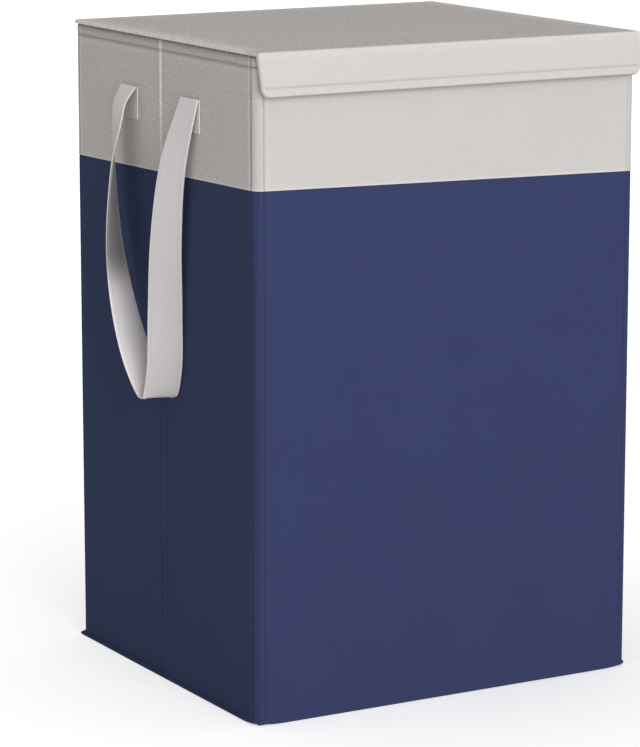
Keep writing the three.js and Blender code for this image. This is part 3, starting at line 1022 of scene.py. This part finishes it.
def foot_seam():
    """The bound seam around the foot: a flat fold of cloth that leans out from the walls to the floor."""
    lowest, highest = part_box("foot_binding")

    def ring(share, drawn_in):
        return rounded_ring(
            half_width + (highest.x - half_width) * share - drawn_in,
            -half_depth + (lowest.y + half_depth) * share + drawn_in,
            half_depth + (highest.y - half_depth) * share - drawn_in,
            0.009, 0.0035 + 0.005 * (1 - share), 30, 34)

    piece = ring_piece("foot_seam", [(ring(share, drawn_in), z) for share, drawn_in, z in foot_rows])

    def waved(places):
        beyond = np.maximum(np.abs(places[:, 0]) - half_width, np.abs(places[:, 1]) - half_depth)
        lift = swell(places * (1, 1, 0), 9, 0.09).clip(0, 1)
        places[:, 2] += lift * 0.0005 * np.clip(beyond / 0.002, 0, 1) * (places[:, 2] > 0.0005)
        corner = np.hypot(half_width - np.abs(places[:, 0]), half_depth + places[:, 1])
        places[:, 2] += sizes().corner_lift * soft_step(1 - corner / 0.021) * (1 - places[:, 2] / 0.007)
        return places

    reshape(piece, waved)
    smooth(piece)
    places = places_of(piece)
    # Painted shade along the foot at the two sides, fading out at the front corners
    at_side = np.abs(places[:, 0]) > half_width - 0.004
    paint(piece, seam=0.8 * at_side * np.clip((half_depth + places[:, 1]) / 0.03, 0, 1))
    finish_piece(piece, "navy_cloth", "foot_binding", "back_wall")
    fold_at_foot(piece)


def soft_block(name, node, slot, edge, step, crown):
    """A thin soft slab with rounded edges that is a little fuller in its middle."""
    lowest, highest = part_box(node)
    piece = add_block(name, lowest, highest)
    edit(piece)
    round_edges(piece, edge, 3)
    cut_grid(lowest, highest, edge, step)
    done()

    def crowned(places):
        top = places[:, 2] > (lowest.z + highest.z) / 2
        lift = 0.6 + 0.4 * ripple(places * (1, 1, 0), 5, 0.1)
        places[:, 2] += crown * (soft_step(inside(places, lowest, highest) / 0.04) * lift - 1) * top
        return places

    reshape(piece, crowned)
    finish_piece(piece, slot, node, "back_wall")
    fold_at_foot(piece)
    return piece


def floor_pieces():
    soft_block("bottom_sheet", "bottom_cloth", "navy_cloth", 0.0004, 0.03, 0.0001)
    soft_block("floor_felt", "floor_pad", "felt", 0.0009, 0.025, 0.0003)
    cover = soft_block("floor_cover", "floor_lining", "lining_cloth", 0.0003, 0.025, 0.0001)


# Lid


def lid_cover():
    """The lid's top cloth: one cloth over the board with a rolled border, turned under all round."""
    lowest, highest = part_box("lid_top_cloth")
    middle = (lowest + highest) / 2
    border = 0.004
    piece = add_block("lid_cover", lowest, highest)
    edit(piece)
    round_edges(piece, border, 5, lambda a, b: upright(a, b) and a.y > 0)
    round_edges(piece, 0.0015, 3, lambda a, b: upright(a, b) and a.y < 0)
    delete_faces(piece, lambda normal: normal.z < -0.9)
    round_edges(
        piece, 0.0019, 5, lambda a, b: min(a.z, b.z) > highest.z - TOUCH and max(a.y, b.y) > lowest.y + TOUCH)
    cut_grid(lowest, highest, border, 0.022)
    pick(piece, lambda co: co.z < lowest.z + TOUCH)
    for inwards in (0.0008, 0.0035):
        extrude()
        bpy.ops.transform.resize(
            value=(1 - inwards / (highest.x - middle.x), 1 - inwards / (highest.y - middle.y), 1),
            center_override=tuple(middle))
    done()

    def waved(places):
        hold = soft_step((inside(places, lowest, highest) - border) / 0.04)
        hold *= places[:, 2] > highest.z - 0.0003
        places[:, 2] -= swell(places, 21, 0.16).clip(0, 1) * 0.0004 * hold
        return places

    reshape(piece, waved)
    places = places_of(piece)
    # A painted highlight runs along the border at the sides and the back, and fades towards the flap
    beyond = inside(places, lowest - Vector((0, 1, 0)), highest)
    from_front = np.clip((places[:, 1] - lowest.y - border) / 0.02, 0, 1)
    paint(piece, fold=2.5 * from_front * fade(beyond - 0.001, 0.0022))
    thicken(piece, 0.0006)
    finish_piece(piece, "grey_cloth", "lid_top_cloth", "lid", "Lid")


def lid_stiffener():
    """The board in the lid, with its corners cut round as the cloth is."""
    lowest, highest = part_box("lid_board")
    piece = add_block("lid_stiff_board", lowest, highest)
    edit(piece)
    round_edges(piece, 0.004, 4, upright)
    done()
    finish_piece(piece, "cardboard", "lid_board", "lid")


def lid_underside():
    lowest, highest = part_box("lid_lining")
    inset = Vector((0.004, 0.004, 0))
    piece = add_block("lid_inner_cloth", lowest + inset, highest - inset)
    edit(piece)
    round_edges(piece, 0.0002, 2)
    cut_grid(lowest, highest, 0.01, 0.03)
    done()
    hem = 0.009
    near, far, left, right = lowest.y + hem, highest.y - hem, lowest.x + hem, highest.x - hem
    round_run = (left, near), (right, near), (right, far), (left, far), (left, near)
    sew(piece, (0, 0, -1), [(x, y, lowest.z) for x, y in round_run])
    finish_piece(piece, "lining_cloth", "lid_lining", "lid")


def hinge_cloth():
    """The strip that joins the lid to the back wall, sewn along both its edges."""
    lowest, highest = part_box("lid_hinge_strip")
    top = high("lid_top_cloth").z - 0.0008
    piece = add_sheet("hinge_cloth", (lowest.x, highest.x), (lowest.z, top), 14, 4)
    edit(piece)
    cut(UP, [rim_height + up for up in (-0.003, -0.001, 0.0004, 0.0016)])
    cut(UP, [lowest.z + up for up in (0.0008, 0.002)])
    move_all((0, -highest.y, 0))
    done()
    piece.matrix_world = Matrix.Rotation(math.pi, 4, "Z")
    apply_place(piece)
    smooth(piece)
    thicken(piece, 0.0006)
    lead = 0.003
    sew(piece, (0, 1, 0), *(
        [(lowest.x + lead, highest.y, z), (highest.x - lead, highest.y, z)]
        for z in (lowest.z + 0.004, lowest.z + 0.022)))
    finish_piece(piece, "grey_cloth", "lid_hinge_strip")
    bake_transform(piece)


def flap():
    """The padded flap: a board in a cloth, with its hem's stitching above the lower edge."""
    lowest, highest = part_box("flap_cloth")
    slant = 0.005
    back = highest.y
    front = lowest.y + slant
    stitching = lowest.z + 0.009
    turn_height = lowest.z + 0.0026
    inset = 0.0042

    def at_corner(a, b, height):
        """Whether an edge between two places goes from front to back at a height."""
        return abs(a.x - b.x) < TOUCH and abs(a.z - height) < TOUCH and abs(b.z - height) < TOUCH

    piece = add_block("flap", (lowest.x, front, lowest.z), (highest.x, back, highest.z))
    edit(piece)
    round_edges(piece, 0.008, 6, lambda a, b: at_corner(a, b, lowest.z))
    round_edges(piece, 0.0025, 3, lambda a, b: at_corner(a, b, highest.z))
    round_edges(piece, 0.0024, 5, lambda a, b: max(a.y, b.y) < front + TOUCH)
    below_lid = highest.z - 0.003
    round_edges(piece, 0.0015, 3, lambda a, b: min(a.y, b.y) > back - TOUCH and min(a.z, b.z) < below_lid)
    cut_evenly(ACROSS, lowest.x + 0.009, highest.x - 0.009, 0.016)
    cut(UP, [stitching + up for up in (-0.0016, -0.0008, 0, 0.0008, 0.0018)])
    cut_evenly(UP, stitching + 0.002, highest.z - 0.004, 0.005)
    cut(ACROSS, (lowest.x + inset, highest.x - inset))
    done()

    def shaped(places):
        face = places[:, 1] < front + 0.0002
        side = np.abs(places[:, 0]) - (highest.x - inset)
        above = np.abs(places[:, 2] - stitching)
        groove = fade(above, 0.0016) * (side < 0.0001)
        room = soft_step((highest.z - 0.002 - places[:, 2]) / 0.008) * soft_step(above / 0.006)
        crown = 0.0006 * room * soft_step((0.003 - side) / 0.012)
        wave = 0.0003 * ripple(places, 31, 0.12) * room
        places[:, 1] += face * (0.0005 * groove - crown - wave)
        places[:, 1] -= slant * np.clip((rim_height - places[:, 2]) / (rim_height - turn_height), 0, 1)
        # A little wider at the top and narrower at the bottom
        up = (places[:, 2] - lowest.z) / (highest.z - lowest.z)
        places[:, 0] *= 1 + (0.0016 * up - 0.0007 * (1 - up)) / highest.x
        return places

    reshape(piece, shaped)
    # Painted shade along the stitching and on the lower edge, and a painted highlight over the whole flap,
    # strongest on its rolled top edge
    places = places_of(piece)
    on_line = (places[:, 1] < front) * (np.abs(places[:, 0]) < highest.x - inset + 0.0008)
    sewn = fade(np.abs(places[:, 2] - stitching), 0.0011) * on_line
    roll = fade(highest.z - places[:, 2], 0.0035) * (places[:, 1] < back - 0.0006)
    paint(piece, seam=np.maximum(sewn, 1.8 * fade(places[:, 2] - lowest.z, 0.0018)), fold=0.3 + roll)
    thicken(piece, 0.0006)
    y = front + 0.0005 - slant * (rim_height - stitching) / (rim_height - turn_height)
    sew(piece, (0, -1, 0), [(lowest.x + inset, y, stitching), (highest.x - inset, y, stitching)])
    finish_piece(piece, "grey_cloth", "flap_cloth", "lid_flap", "Flap")


# Carrying straps


def curve(knots, count, even=False):
    """A smooth line through knots, spaced as a hanging strap bends, or evenly."""
    knots = np.array(knots, float)
    ends = (knots[0], knots[-1]) if even else (2 * knots[0] - knots[1], 2 * knots[-1] - knots[-2])
    knots = [ends[0], *knots, ends[1]]
    spans = len(knots) - 3
    points = []
    for i in range(count + 1):
        share = i / count * spans
        k = min(int(share), spans - 1)
        t = share - k
        p0, p1, p2, p3 = knots[k:k + 4]
        d0, d1, d2 = (
            1 if even else max(np.linalg.norm(b - a), 1e-6) ** 0.5 for a, b in ((p0, p1), (p1, p2), (p2, p3)))
        m1 = ((p1 - p0) / d0 - (p2 - p0) / (d0 + d1) + (p2 - p1) / d1) * d1
        m2 = ((p2 - p1) / d1 - (p3 - p1) / (d1 + d2) + (p3 - p2) / d2) * d1
        c2, c3 = -3 * p1 + 3 * p2 - 2 * m1 - m2, 2 * p1 - 2 * p2 + m1 + m2
        points.append(p1 + m1 * t + c2 * t * t + c3 * t ** 3)
    return np.array(points)


def add_band(name, rows, shares, width):
    """A sheet through rows of a middle point and the way across. Also gives each vertex's row and share."""
    piece = add_sheet(name, (0, 1), (0, 1), len(shares) - 1, len(rows) - 1)
    flat = np.round(places_of(piece), 5)
    ranks = np.empty(len(flat), int)
    ranks[np.lexsort((flat[:, 0], flat[:, 2]))] = np.arange(len(flat))
    row, share = ranks // len(shares), np.array(shares)[ranks % len(shares)]
    points, ways = np.array([(tuple(point), tuple(way)) for point, way, *_ in rows]).transpose(1, 0, 2)
    reshape(piece, lambda places: points[row] + ways[row] * (share * width)[:, None])
    return piece, row, share


def nearest(points, place):
    return ((points - np.array(place)) ** 2).sum(1).argmin()


def leave_outside_light(piece, middle, inwards):
    """Takes the painted shade of the strap's rear strand off its outer side, and leaves it inside the loop.
    """
    places = places_of(piece)
    index = np.array([nearest(middle, place) for place in places])
    depth = ((places - middle[index]) * np.array([tuple(way) for way in inwards])[index]).sum(1)
    shade = read(piece.data.attributes["seam"].data, "value", kind=np.float32)
    paint(piece, seam=np.where(depth > 0.0001, shade, np.minimum(shade, 1)))


def strap(side_name, side):
    """A flat strap that leaves its rear end, twists, hangs as a loop, and comes up to its front end."""
    width, thick = sizes().strap_width, sizes().strap_thickness
    root = min(low("right_strap").x + 0.00005, half_width + 0.0018) + thick / 2
    steps = 110
    middle = curve([
        (side * (root + out * sizes().strap_standoff), across * sizes().strap_spacing / 2,
         strap_top - drop * sizes().strap_drop)
        for out, across, drop, _ in strap_shares], steps)
    turns = curve([turn for *_, turn in strap_shares], steps, even=True)
    ahead = np.gradient(middle, axis=0)
    ahead[0], ahead[-1] = (0, 0, -1), (0, 0, 1)
    rows = []
    for point, way, turn in zip(middle, ahead, turns):
        angle = turn * math.pi
        way = Vector(way).normalized()
        across = Vector((-side * math.sin(angle), math.cos(angle), 0))
        across = (across - way * across.dot(way)).normalized()
        rows.append((Vector(point), across, across.cross(way).normalized()))
    piece, row, share = add_band(f"{side_name}_carry_strap", rows, strap_columns_share, width)
    # The turned edges hang no lower than the middle of the loop, so its bottom is level
    reshape(piece, lambda places: np.maximum(places, (-1, -1, middle[:, 2].min())))
    # Painted highlights on the edges, at the top and low on the rear strand, and painted shade along the
    # stitching and inside the rear strand
    size = np.abs(share)
    drop = (strap_top - middle[row, 2]) / sizes().strap_drop
    rear = soft_step((0.6 - row / len(rows)) / 0.12)
    light = 1.1 * np.maximum(0, 1 - 1.75 * drop) + 2.2 * rear * soft_step((drop - 0.58) / 0.14)
    shade = 4.8 * rear * soft_step((drop - 0.1) / 0.12) * soft_step((0.66 - drop) / 0.11)
    paint(piece, fold=0.15 * (size > 0.455) + light, seam=(np.abs(size - 0.4) < 0.001) + shade)
    run = np.concatenate([[0], np.linalg.norm(np.diff(middle, axis=0), axis=1).cumsum()])
    vertex = read(piece.data.loops, "vertex_index", kind=int)
    lay_map(piece, np.stack([share[vertex] * width, run[row[vertex]]], 1))
    for old in [layer for layer in piece.data.uv_layers if layer.name != "Cloth"]:
        piece.data.uv_layers.remove(old)
    thicken(piece, thick, 0, use_even_offset=True)
    round_band(piece, 0.0004)
    leave_outside_light(piece, middle, [side * through for _, _, through in rows])
    for face in (1, -1):
        facings = [through * face for _, _, through in rows[2:-2]]
        for column_share in (-0.4, 0.4):
            sewn = [
                point + across * (column_share * width) + facing * (thick / 2)
                for (point, across, _), facing in zip(rows[2:-2], facings)]
            near = np.array([tuple(point) for point in sewn])
            sew(piece, lambda place: facings[nearest(near, place)], sewn)
    finish_piece(piece, "strap_webbing", f"{side_name}_strap", f"{side_name}_handle")
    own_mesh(piece)


def strap_tab(side_name, side, place):
    """The sewn end of a strap, with stitching around it and across it."""
    node = f"{side_name}_{place}_strap_tab"
    lowest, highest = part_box(node)
    piece = add_block(f"{side_name}_{place}_tab", lowest, highest)
    edit(piece)
    round_edges(piece, 0.0005, 3)
    done()
    places = places_of(piece)
    # A painted highlight on the border at the two sides and the bottom, and a painted shadow of the strap on
    # the face, darkest at the top
    within = inside(places, lowest, highest + Vector((0, 0, 1)), (DEEP, UP))
    face = np.clip((within - 0.0004) / 0.0002, 0, 1)
    up = (places[:, 2] - lowest.z) / (highest.z - lowest.z)
    paint(piece, seam=(2.4 + 2.6 * up ** 2) * face, fold=1 - face)
    inset, x = 0.0035, highest.x if side > 0 else lowest.x
    sew(piece, (side, 0, 0), *crossed_box(
        lambda y, z: (x, y, z), lowest.y + inset, highest.y - inset, lowest.z + inset, highest.z - inset))
    finish_piece(piece, "strap_webbing", node, f"{side_name}_{place}_wall")


# Inside


def fold_to_back(piece):
    """Gives a soft piece its own mesh."""
    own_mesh(piece)


def divider():
    """The cloth between the two bags, stretched from the front wall to the back wall, with a top hem."""
    lowest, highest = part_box("divider_web")
    piece = add_sheet("divider_cloth", (lowest.y, highest.y), (lowest.z, highest.z), 16, 22)
    stitching = highest.z - 0.018
    edit(piece)
    press_row(piece, stitching, 0.0012, 0.0005)
    press_row(piece, highest.z - 0.0024, 0.001, 0.0002)
    done()

    def waved(places):
        away = inside(places, (lowest.y, 0, lowest.z - 1), (highest.y, 0, highest.z + 0.01), (ACROSS, UP))
        places[:, 1] += 0.0012 * ripple(places, 51, 0.2) * soft_step(away / 0.06)
        return places

    reshape(piece, waved)
    smooth(piece)
    thicken(piece, 0.0014, 0)
    lead, face = 0.004, 0.0008
    for way in (-1, 1):
        sew(piece, (0, way, 0), [
            (lowest.y + lead, way * face, stitching), (highest.y - lead, way * face, stitching)])
    piece.matrix_world = Matrix.Rotation(math.pi / 2, 4, "Z")
    apply_place(piece)
    finish_piece(piece, "lining_cloth", "divider_web", "back_wall")
    fold_to_back(piece)


def bag_shell(side_name):
    """A lift-out bag: a tall cloth bag whose sides sag between its corners."""
    node = f"{side_name}_bag"
    lowest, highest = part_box(node)
    piece = add_block(f"{side_name}_bag_cloth", lowest, highest)
    edit(piece)
    round_edges(piece, 0.012, 5, upright)
    delete_faces(piece, lambda normal: normal.z > 0.9)
    round_edges(piece, 0.006, 3, lambda a, b: max(a.z, b.z) < lowest.z + TOUCH)
    cut_grid(lowest, highest, 0.013, 0.014)
    cut_evenly(UP, lowest.z + 0.008, highest.z, 0.016)
    done()
    middle, half = np.array((lowest + highest) / 2)[:2], np.array((highest - lowest) / 2)[:2]

    def sagged(places):
        up = (places[:, 2] - lowest.z) / (highest.z - lowest.z)
        hold = soft_step(up / 0.06) * soft_step((1 - up) / 0.08)
        tall = swell(places * (1, 1, 0.22), 61 + len(side_name), 0.07)
        broad = swell(places, 71 + len(side_name), 0.2)
        inwards = sizes().bag_slack * hold * np.clip(0.55 * tall + 0.45 * broad, 0, 1)
        away = places[:, :2] - middle
        on_face = np.abs(away) > half - 0.0125
        places[:, :2] -= np.sign(away) * on_face * inwards[:, None]
        places[:, 2] += (places[:, 2] < lowest.z + 0.0005) * 0.0006 * swell(places, 81, 0.1)
        return places

    reshape(piece, sagged)
    smooth(piece)
    thicken(piece, 0.0007)
    finish_piece(piece, "bag_cloth", node, "back_wall")
    fold_to_back(piece)


def bag_rim(side_name):
    """The bag's stiff top band: a folded cloth with a stitched lower edge."""
    node = f"{side_name}_bag_rim"
    lowest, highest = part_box(node)
    middle, half = (lowest + highest) / 2, (highest - lowest) / 2
    radius, thick = 0.012, 0.0018
    foot = lowest.z - 0.0004
    stitching = foot + 0.004

    def ring(drawn_in):
        depth = half.y - drawn_in
        places = rounded_ring(half.x - drawn_in, -depth, depth, radius - drawn_in, radius - drawn_in, 24, 14)
        return places + (middle.x, middle.y)

    # How far each level of the outer face is drawn in. The inner face mirrors it
    outer = [
        (0.0006, foot), (0, foot + 0.0006), (0, stitching - 0.0009), (0.0003, stitching),
        (0, stitching + 0.0009), (0, (foot + highest.z) / 2), (0, highest.z - 0.001),
        (0.0003, highest.z - 0.0003)]
    levels = [*outer, (thick / 2, highest.z), *((thick - drawn_in, z) for drawn_in, z in outer[::-1])]
    piece = ring_piece(f"{side_name}_bag_band", [(ring(drawn_in), z) for drawn_in, z in levels])

    def waved(places):
        places[:, 2] -= 0.0005 * swell(places * (1, 1, 0), 91, 0.1) * (places[:, 2] > foot + 0.01)
        return places

    def outwards(place):
        away = (place - middle).xy
        past = [max(abs(a) - (b - radius), 0) for a, b in zip(away, half.xy)]
        return Vector((math.copysign(past[0], away.x), math.copysign(past[1], away.y), 0))

    reshape(piece, waved)
    for drawn_in, way in ((-0.0002, 1), (thick + 0.0002, -1)):
        around = [(x, y, stitching) for x, y in ring(drawn_in)]
        sew(piece, lambda place: way * outwards(place), [*around, around[0]])
    finish_piece(piece, "bag_cloth", node, "back_wall")
    fold_to_back(piece)


def bag_loop(side_name, place):
    """A pull loop of the bag: a flat band sewn on at its two ends, hanging in a U."""
    node = f"{side_name}_bag_{place}_loop"
    lowest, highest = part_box(node)
    middle = (lowest + highest) / 2
    width, thick, bend = 0.022, 0.0013, 0.025
    arm = middle.x - lowest.x - width / 2
    floor = lowest.z + width / 2
    # The left half of the loop's middle line, from its sewn end, as places to the left of the middle
    half = [(arm, z) for z in np.linspace(highest.z, floor + bend, 6)[:-1]]
    half += [
        (arm - bend + bend * math.cos(a), floor + bend - bend * math.sin(a))
        for a in np.linspace(0, math.pi / 2, 8)]
    half += [(x, floor) for x in np.linspace(arm - bend, bend - arm, 6)[1:3]]
    points = np.array([(middle.x - x, z) for x, z in half] + [(middle.x + x, z) for x, z in half[::-1]])
    ahead = np.gradient(points, axis=0)
    ahead /= np.linalg.norm(ahead, axis=1)[:, None]
    rows = [((x, middle.y, z), (-way[1], 0, way[0])) for (x, z), way in zip(points, ahead)]
    piece, _, share = add_band(f"{side_name}_{place}_pull_loop", rows, loop_columns_share, width)
    # A painted highlight along both edges of the loop
    paint(piece, fold=np.abs(share) > 0.45)
    thicken(piece, thick, 0)
    round_band(piece, 0.0003)
    reach = width * 0.38
    for way in (-1, 1):
        y = middle.y + way * thick / 2
        boxes = (
            crossed_box(lambda x, z: (x, y, z), end - reach, end + reach, highest.z - 0.02, highest.z - 0.003)
            for end in (middle.x - arm, middle.x + arm))
        sew(piece, (0, way, 0), *(run for box in boxes for run in box))
    finish_piece(piece, "bag_cloth", node, "back_wall")
    fold_to_back(piece)


# Studio


def seen_directly(tree):
    """1 for what the camera sees, and sees in a reflection or through something clear."""
    rays = add_node(tree, "LightPath").outputs
    return calc("MINIMUM", add(*(rays[f"Is {ray} Ray"] for ray in ("Camera", "Glossy", "Transmission"))), 1.0)


def stage_floor():
    """A pale floor that looks white to the camera and still takes the object's shadow."""
    take()
    bpy.ops.mesh.primitive_plane_add(size=14, location=(0, 3, -0.0003))
    floor = size_new("studio_floor")
    material, shader = new_material("Studio Floor")
    tree = shader.id_data
    away = add_node(
        tree, "VectorMath", {0: object_place(tree), 1: (0.1, -0.15, 0)},
        operation="DISTANCE").outputs["Value"]
    glow = calc("SUBTRACT", 0.88, times(calc("EXPONENT", times(away, -0.7)), 0.42))
    fill(shader, {
        "Base Color": (0.8, 0.8, 0.8, 1), "Roughness": 0.9, "Specular IOR Level": 0.0,
        "Emission Color": (1, 1, 1, 1), "Emission Strength": times(seen_directly(tree), glow)})
    floor.data.materials.append(material)


def world_light():
    """White where the camera sees the background, and a softer white light on the hamper."""
    world = bpy.data.worlds.new("Studio")
    bpy.context.scene.world = world
    world.use_nodes = True
    tree = world.node_tree
    tree.nodes.clear()
    light, white = (
        add_node(tree, "Background", {"Color": (1, 1, 1, 1), "Strength": strength}).outputs[0]
        for strength in (0.46, 1.0))
    mix = add_node(tree, "MixShader", {0: seen_directly(tree), 1: light, 2: white})
    add_node(tree, "OutputWorld", {"Surface": mix.outputs[0]})


def add_seen(name, data):
    added = bpy.data.objects.new(name, data)
    bpy.context.collection.objects.link(added)
    return added


def area_lamp(name, azimuth, elevation, distance, size, power):
    """A soft square lamp that looks at the middle of the body. Azimuth 0 is in front, 90 on the right."""
    a, e = math.radians(azimuth), math.radians(elevation)
    away = Vector((math.sin(a) * math.cos(e), -math.cos(a) * math.cos(e), math.sin(e)))
    data = bpy.data.lights.new(name, "AREA")
    data.shape, data.size, data.energy = "SQUARE", size, power
    lamp = add_seen(name, data)
    lamp.location = Vector((0, 0, 0.3)) + away * distance
    lamp.rotation_euler = away.to_track_quat("Z", "Y").to_euler()


def photo_camera():
    data = bpy.data.cameras.new("Camera")
    data.sensor_width, data.lens, data.clip_start, data.clip_end = 36, 163.611, 0.1, 60
    camera = add_seen("Camera", data)
    camera.location = (-1.617, -2.7631, 0.9118)
    camera.rotation_euler = (math.radians(90 - 11.253), 0, math.radians(-29.819))
    bpy.context.scene.camera = camera


# Operators


class HAMPER_OT_stage(bpy.types.Operator):
    """Make the floor, the lamp, the white background and the camera"""

    bl_idname = "hamper.stage"
    bl_label = "Studio"

    def execute(self, context):
        context.scene.view_settings.view_transform = "Standard"
        stage_floor()
        world_light()
        area_lamp("Front Lamp", -8, 14, 4.2, 2.6, 92)
        photo_camera()
        return {"FINISHED"}


class HAMPER_OT_boards(bpy.types.Operator):
    """Give the boards in the walls, the lid and the flap their cardboard"""

    bl_idname = "hamper.boards"
    bl_label = "Boards"

    def execute(self, context):
        for name, node in frame["nodes"].items():
            if name.endswith("_board"):
                node.data.materials.clear()
                node.data.materials.append(surface("cardboard"))
        return {"FINISHED"}


class HAMPER_OT_walls(bpy.types.Operator):
    """Make the outer cloths and the linings of the walls"""

    bl_idname = "hamper.walls"
    bl_label = "Wall Cloths"

    def execute(self, context):
        for name in walls:
            navy_panel(name)
            grey_panel(name)
            lining_panel(name)
        return {"FINISHED"}


class HAMPER_OT_corners(bpy.types.Operator):
    """Make the cloths around the four corners"""

    bl_idname = "hamper.corners"
    bl_label = "Corner Cloths"

    def execute(self, context):
        for name in corners:
            corner_cloth(name, "lower")
            corner_cloth(name, "upper")
        return {"FINISHED"}


class HAMPER_OT_floor(bpy.types.Operator):
    """Make the bound seam around the foot and the soft floor"""

    bl_idname = "hamper.floor"
    bl_label = "Foot and Floor"

    def execute(self, context):
        foot_seam()
        floor_pieces()
        return {"FINISHED"}


class HAMPER_OT_lid(bpy.types.Operator):
    """Make the lid's cloths and its cloth hinge"""

    bl_idname = "hamper.lid"
    bl_label = "Lid"

    def execute(self, context):
        lid_cover()
        lid_stiffener()
        lid_underside()
        hinge_cloth()
        return {"FINISHED"}


class HAMPER_OT_flap(bpy.types.Operator):
    """Make the padded flap along the lid's front edge"""

    bl_idname = "hamper.flap"
    bl_label = "Lid Flap"

    def execute(self, context):
        flap()
        return {"FINISHED"}


class HAMPER_OT_straps(bpy.types.Operator):
    """Make the two carrying straps and their sewn ends"""

    bl_idname = "hamper.straps"
    bl_label = "Carrying Straps"

    def execute(self, context):
        for side_name, side in (("left", -1), ("right", 1)):
            strap(side_name, side)
            for place in ("rear", "front"):
                strap_tab(side_name, side, place)
        return {"FINISHED"}


class HAMPER_OT_divider(bpy.types.Operator):
    """Make the cloth between the two bags"""

    bl_idname = "hamper.divider"
    bl_label = "Divider"

    def execute(self, context):
        divider()
        return {"FINISHED"}


class HAMPER_OT_bags(bpy.types.Operator):
    """Make the two lift-out bags with their rims and pull loops"""

    bl_idname = "hamper.bags"
    bl_label = "Bags"

    def execute(self, context):
        for side_name in ("left", "right"):
            bag_shell(side_name)
            bag_rim(side_name)
            for place in ("rear", "front"):
                bag_loop(side_name, place)
        return {"FINISHED"}


class HAMPER_PT_panel(bpy.types.Panel):
    """Sizes, colours and steps of the hamper"""

    bl_idname = "HAMPER_PT_panel"
    bl_label = "Laundry Hamper"
    bl_space_type = "VIEW_3D"
    bl_region_type = "UI"
    bl_category = "Hamper"

    def draw(self, context):
        column = self.layout.column()
        for step in steps:
            column.operator(step.bl_idname)
        for settings in (context.scene.hamper_sizes, context.scene.hamper_colours):
            box = self.layout.box()
            for key in settings.__annotations__:
                box.prop(settings, key)


steps = (
    HAMPER_OT_stage, HAMPER_OT_boards, HAMPER_OT_walls, HAMPER_OT_corners, HAMPER_OT_floor, HAMPER_OT_lid,
    HAMPER_OT_flap, HAMPER_OT_straps, HAMPER_OT_divider, HAMPER_OT_bags)
classes = (HamperSizes, HamperColours, *steps, HAMPER_PT_panel)


def register():
    for kind in classes:
        bpy.utils.register_class(kind)
    bpy.types.Scene.hamper_sizes = PointerProperty(type=HamperSizes)
    bpy.types.Scene.hamper_colours = PointerProperty(type=HamperColours)


def unregister():
    del bpy.types.Scene.hamper_colours
    del bpy.types.Scene.hamper_sizes
    for kind in reversed(classes):
        bpy.utils.unregister_class(kind)


def main():
    register()
    bpy.ops.hamper.stage()
    bpy.ops.hamper.boards()
    bpy.ops.hamper.walls()
    bpy.ops.hamper.corners()
    bpy.ops.hamper.floor()
    bpy.ops.hamper.lid()
    bpy.ops.hamper.flap()
    bpy.ops.hamper.straps()
    bpy.ops.hamper.divider()
    bpy.ops.hamper.bags()
    take()


if __name__ == "__main__":
    main()
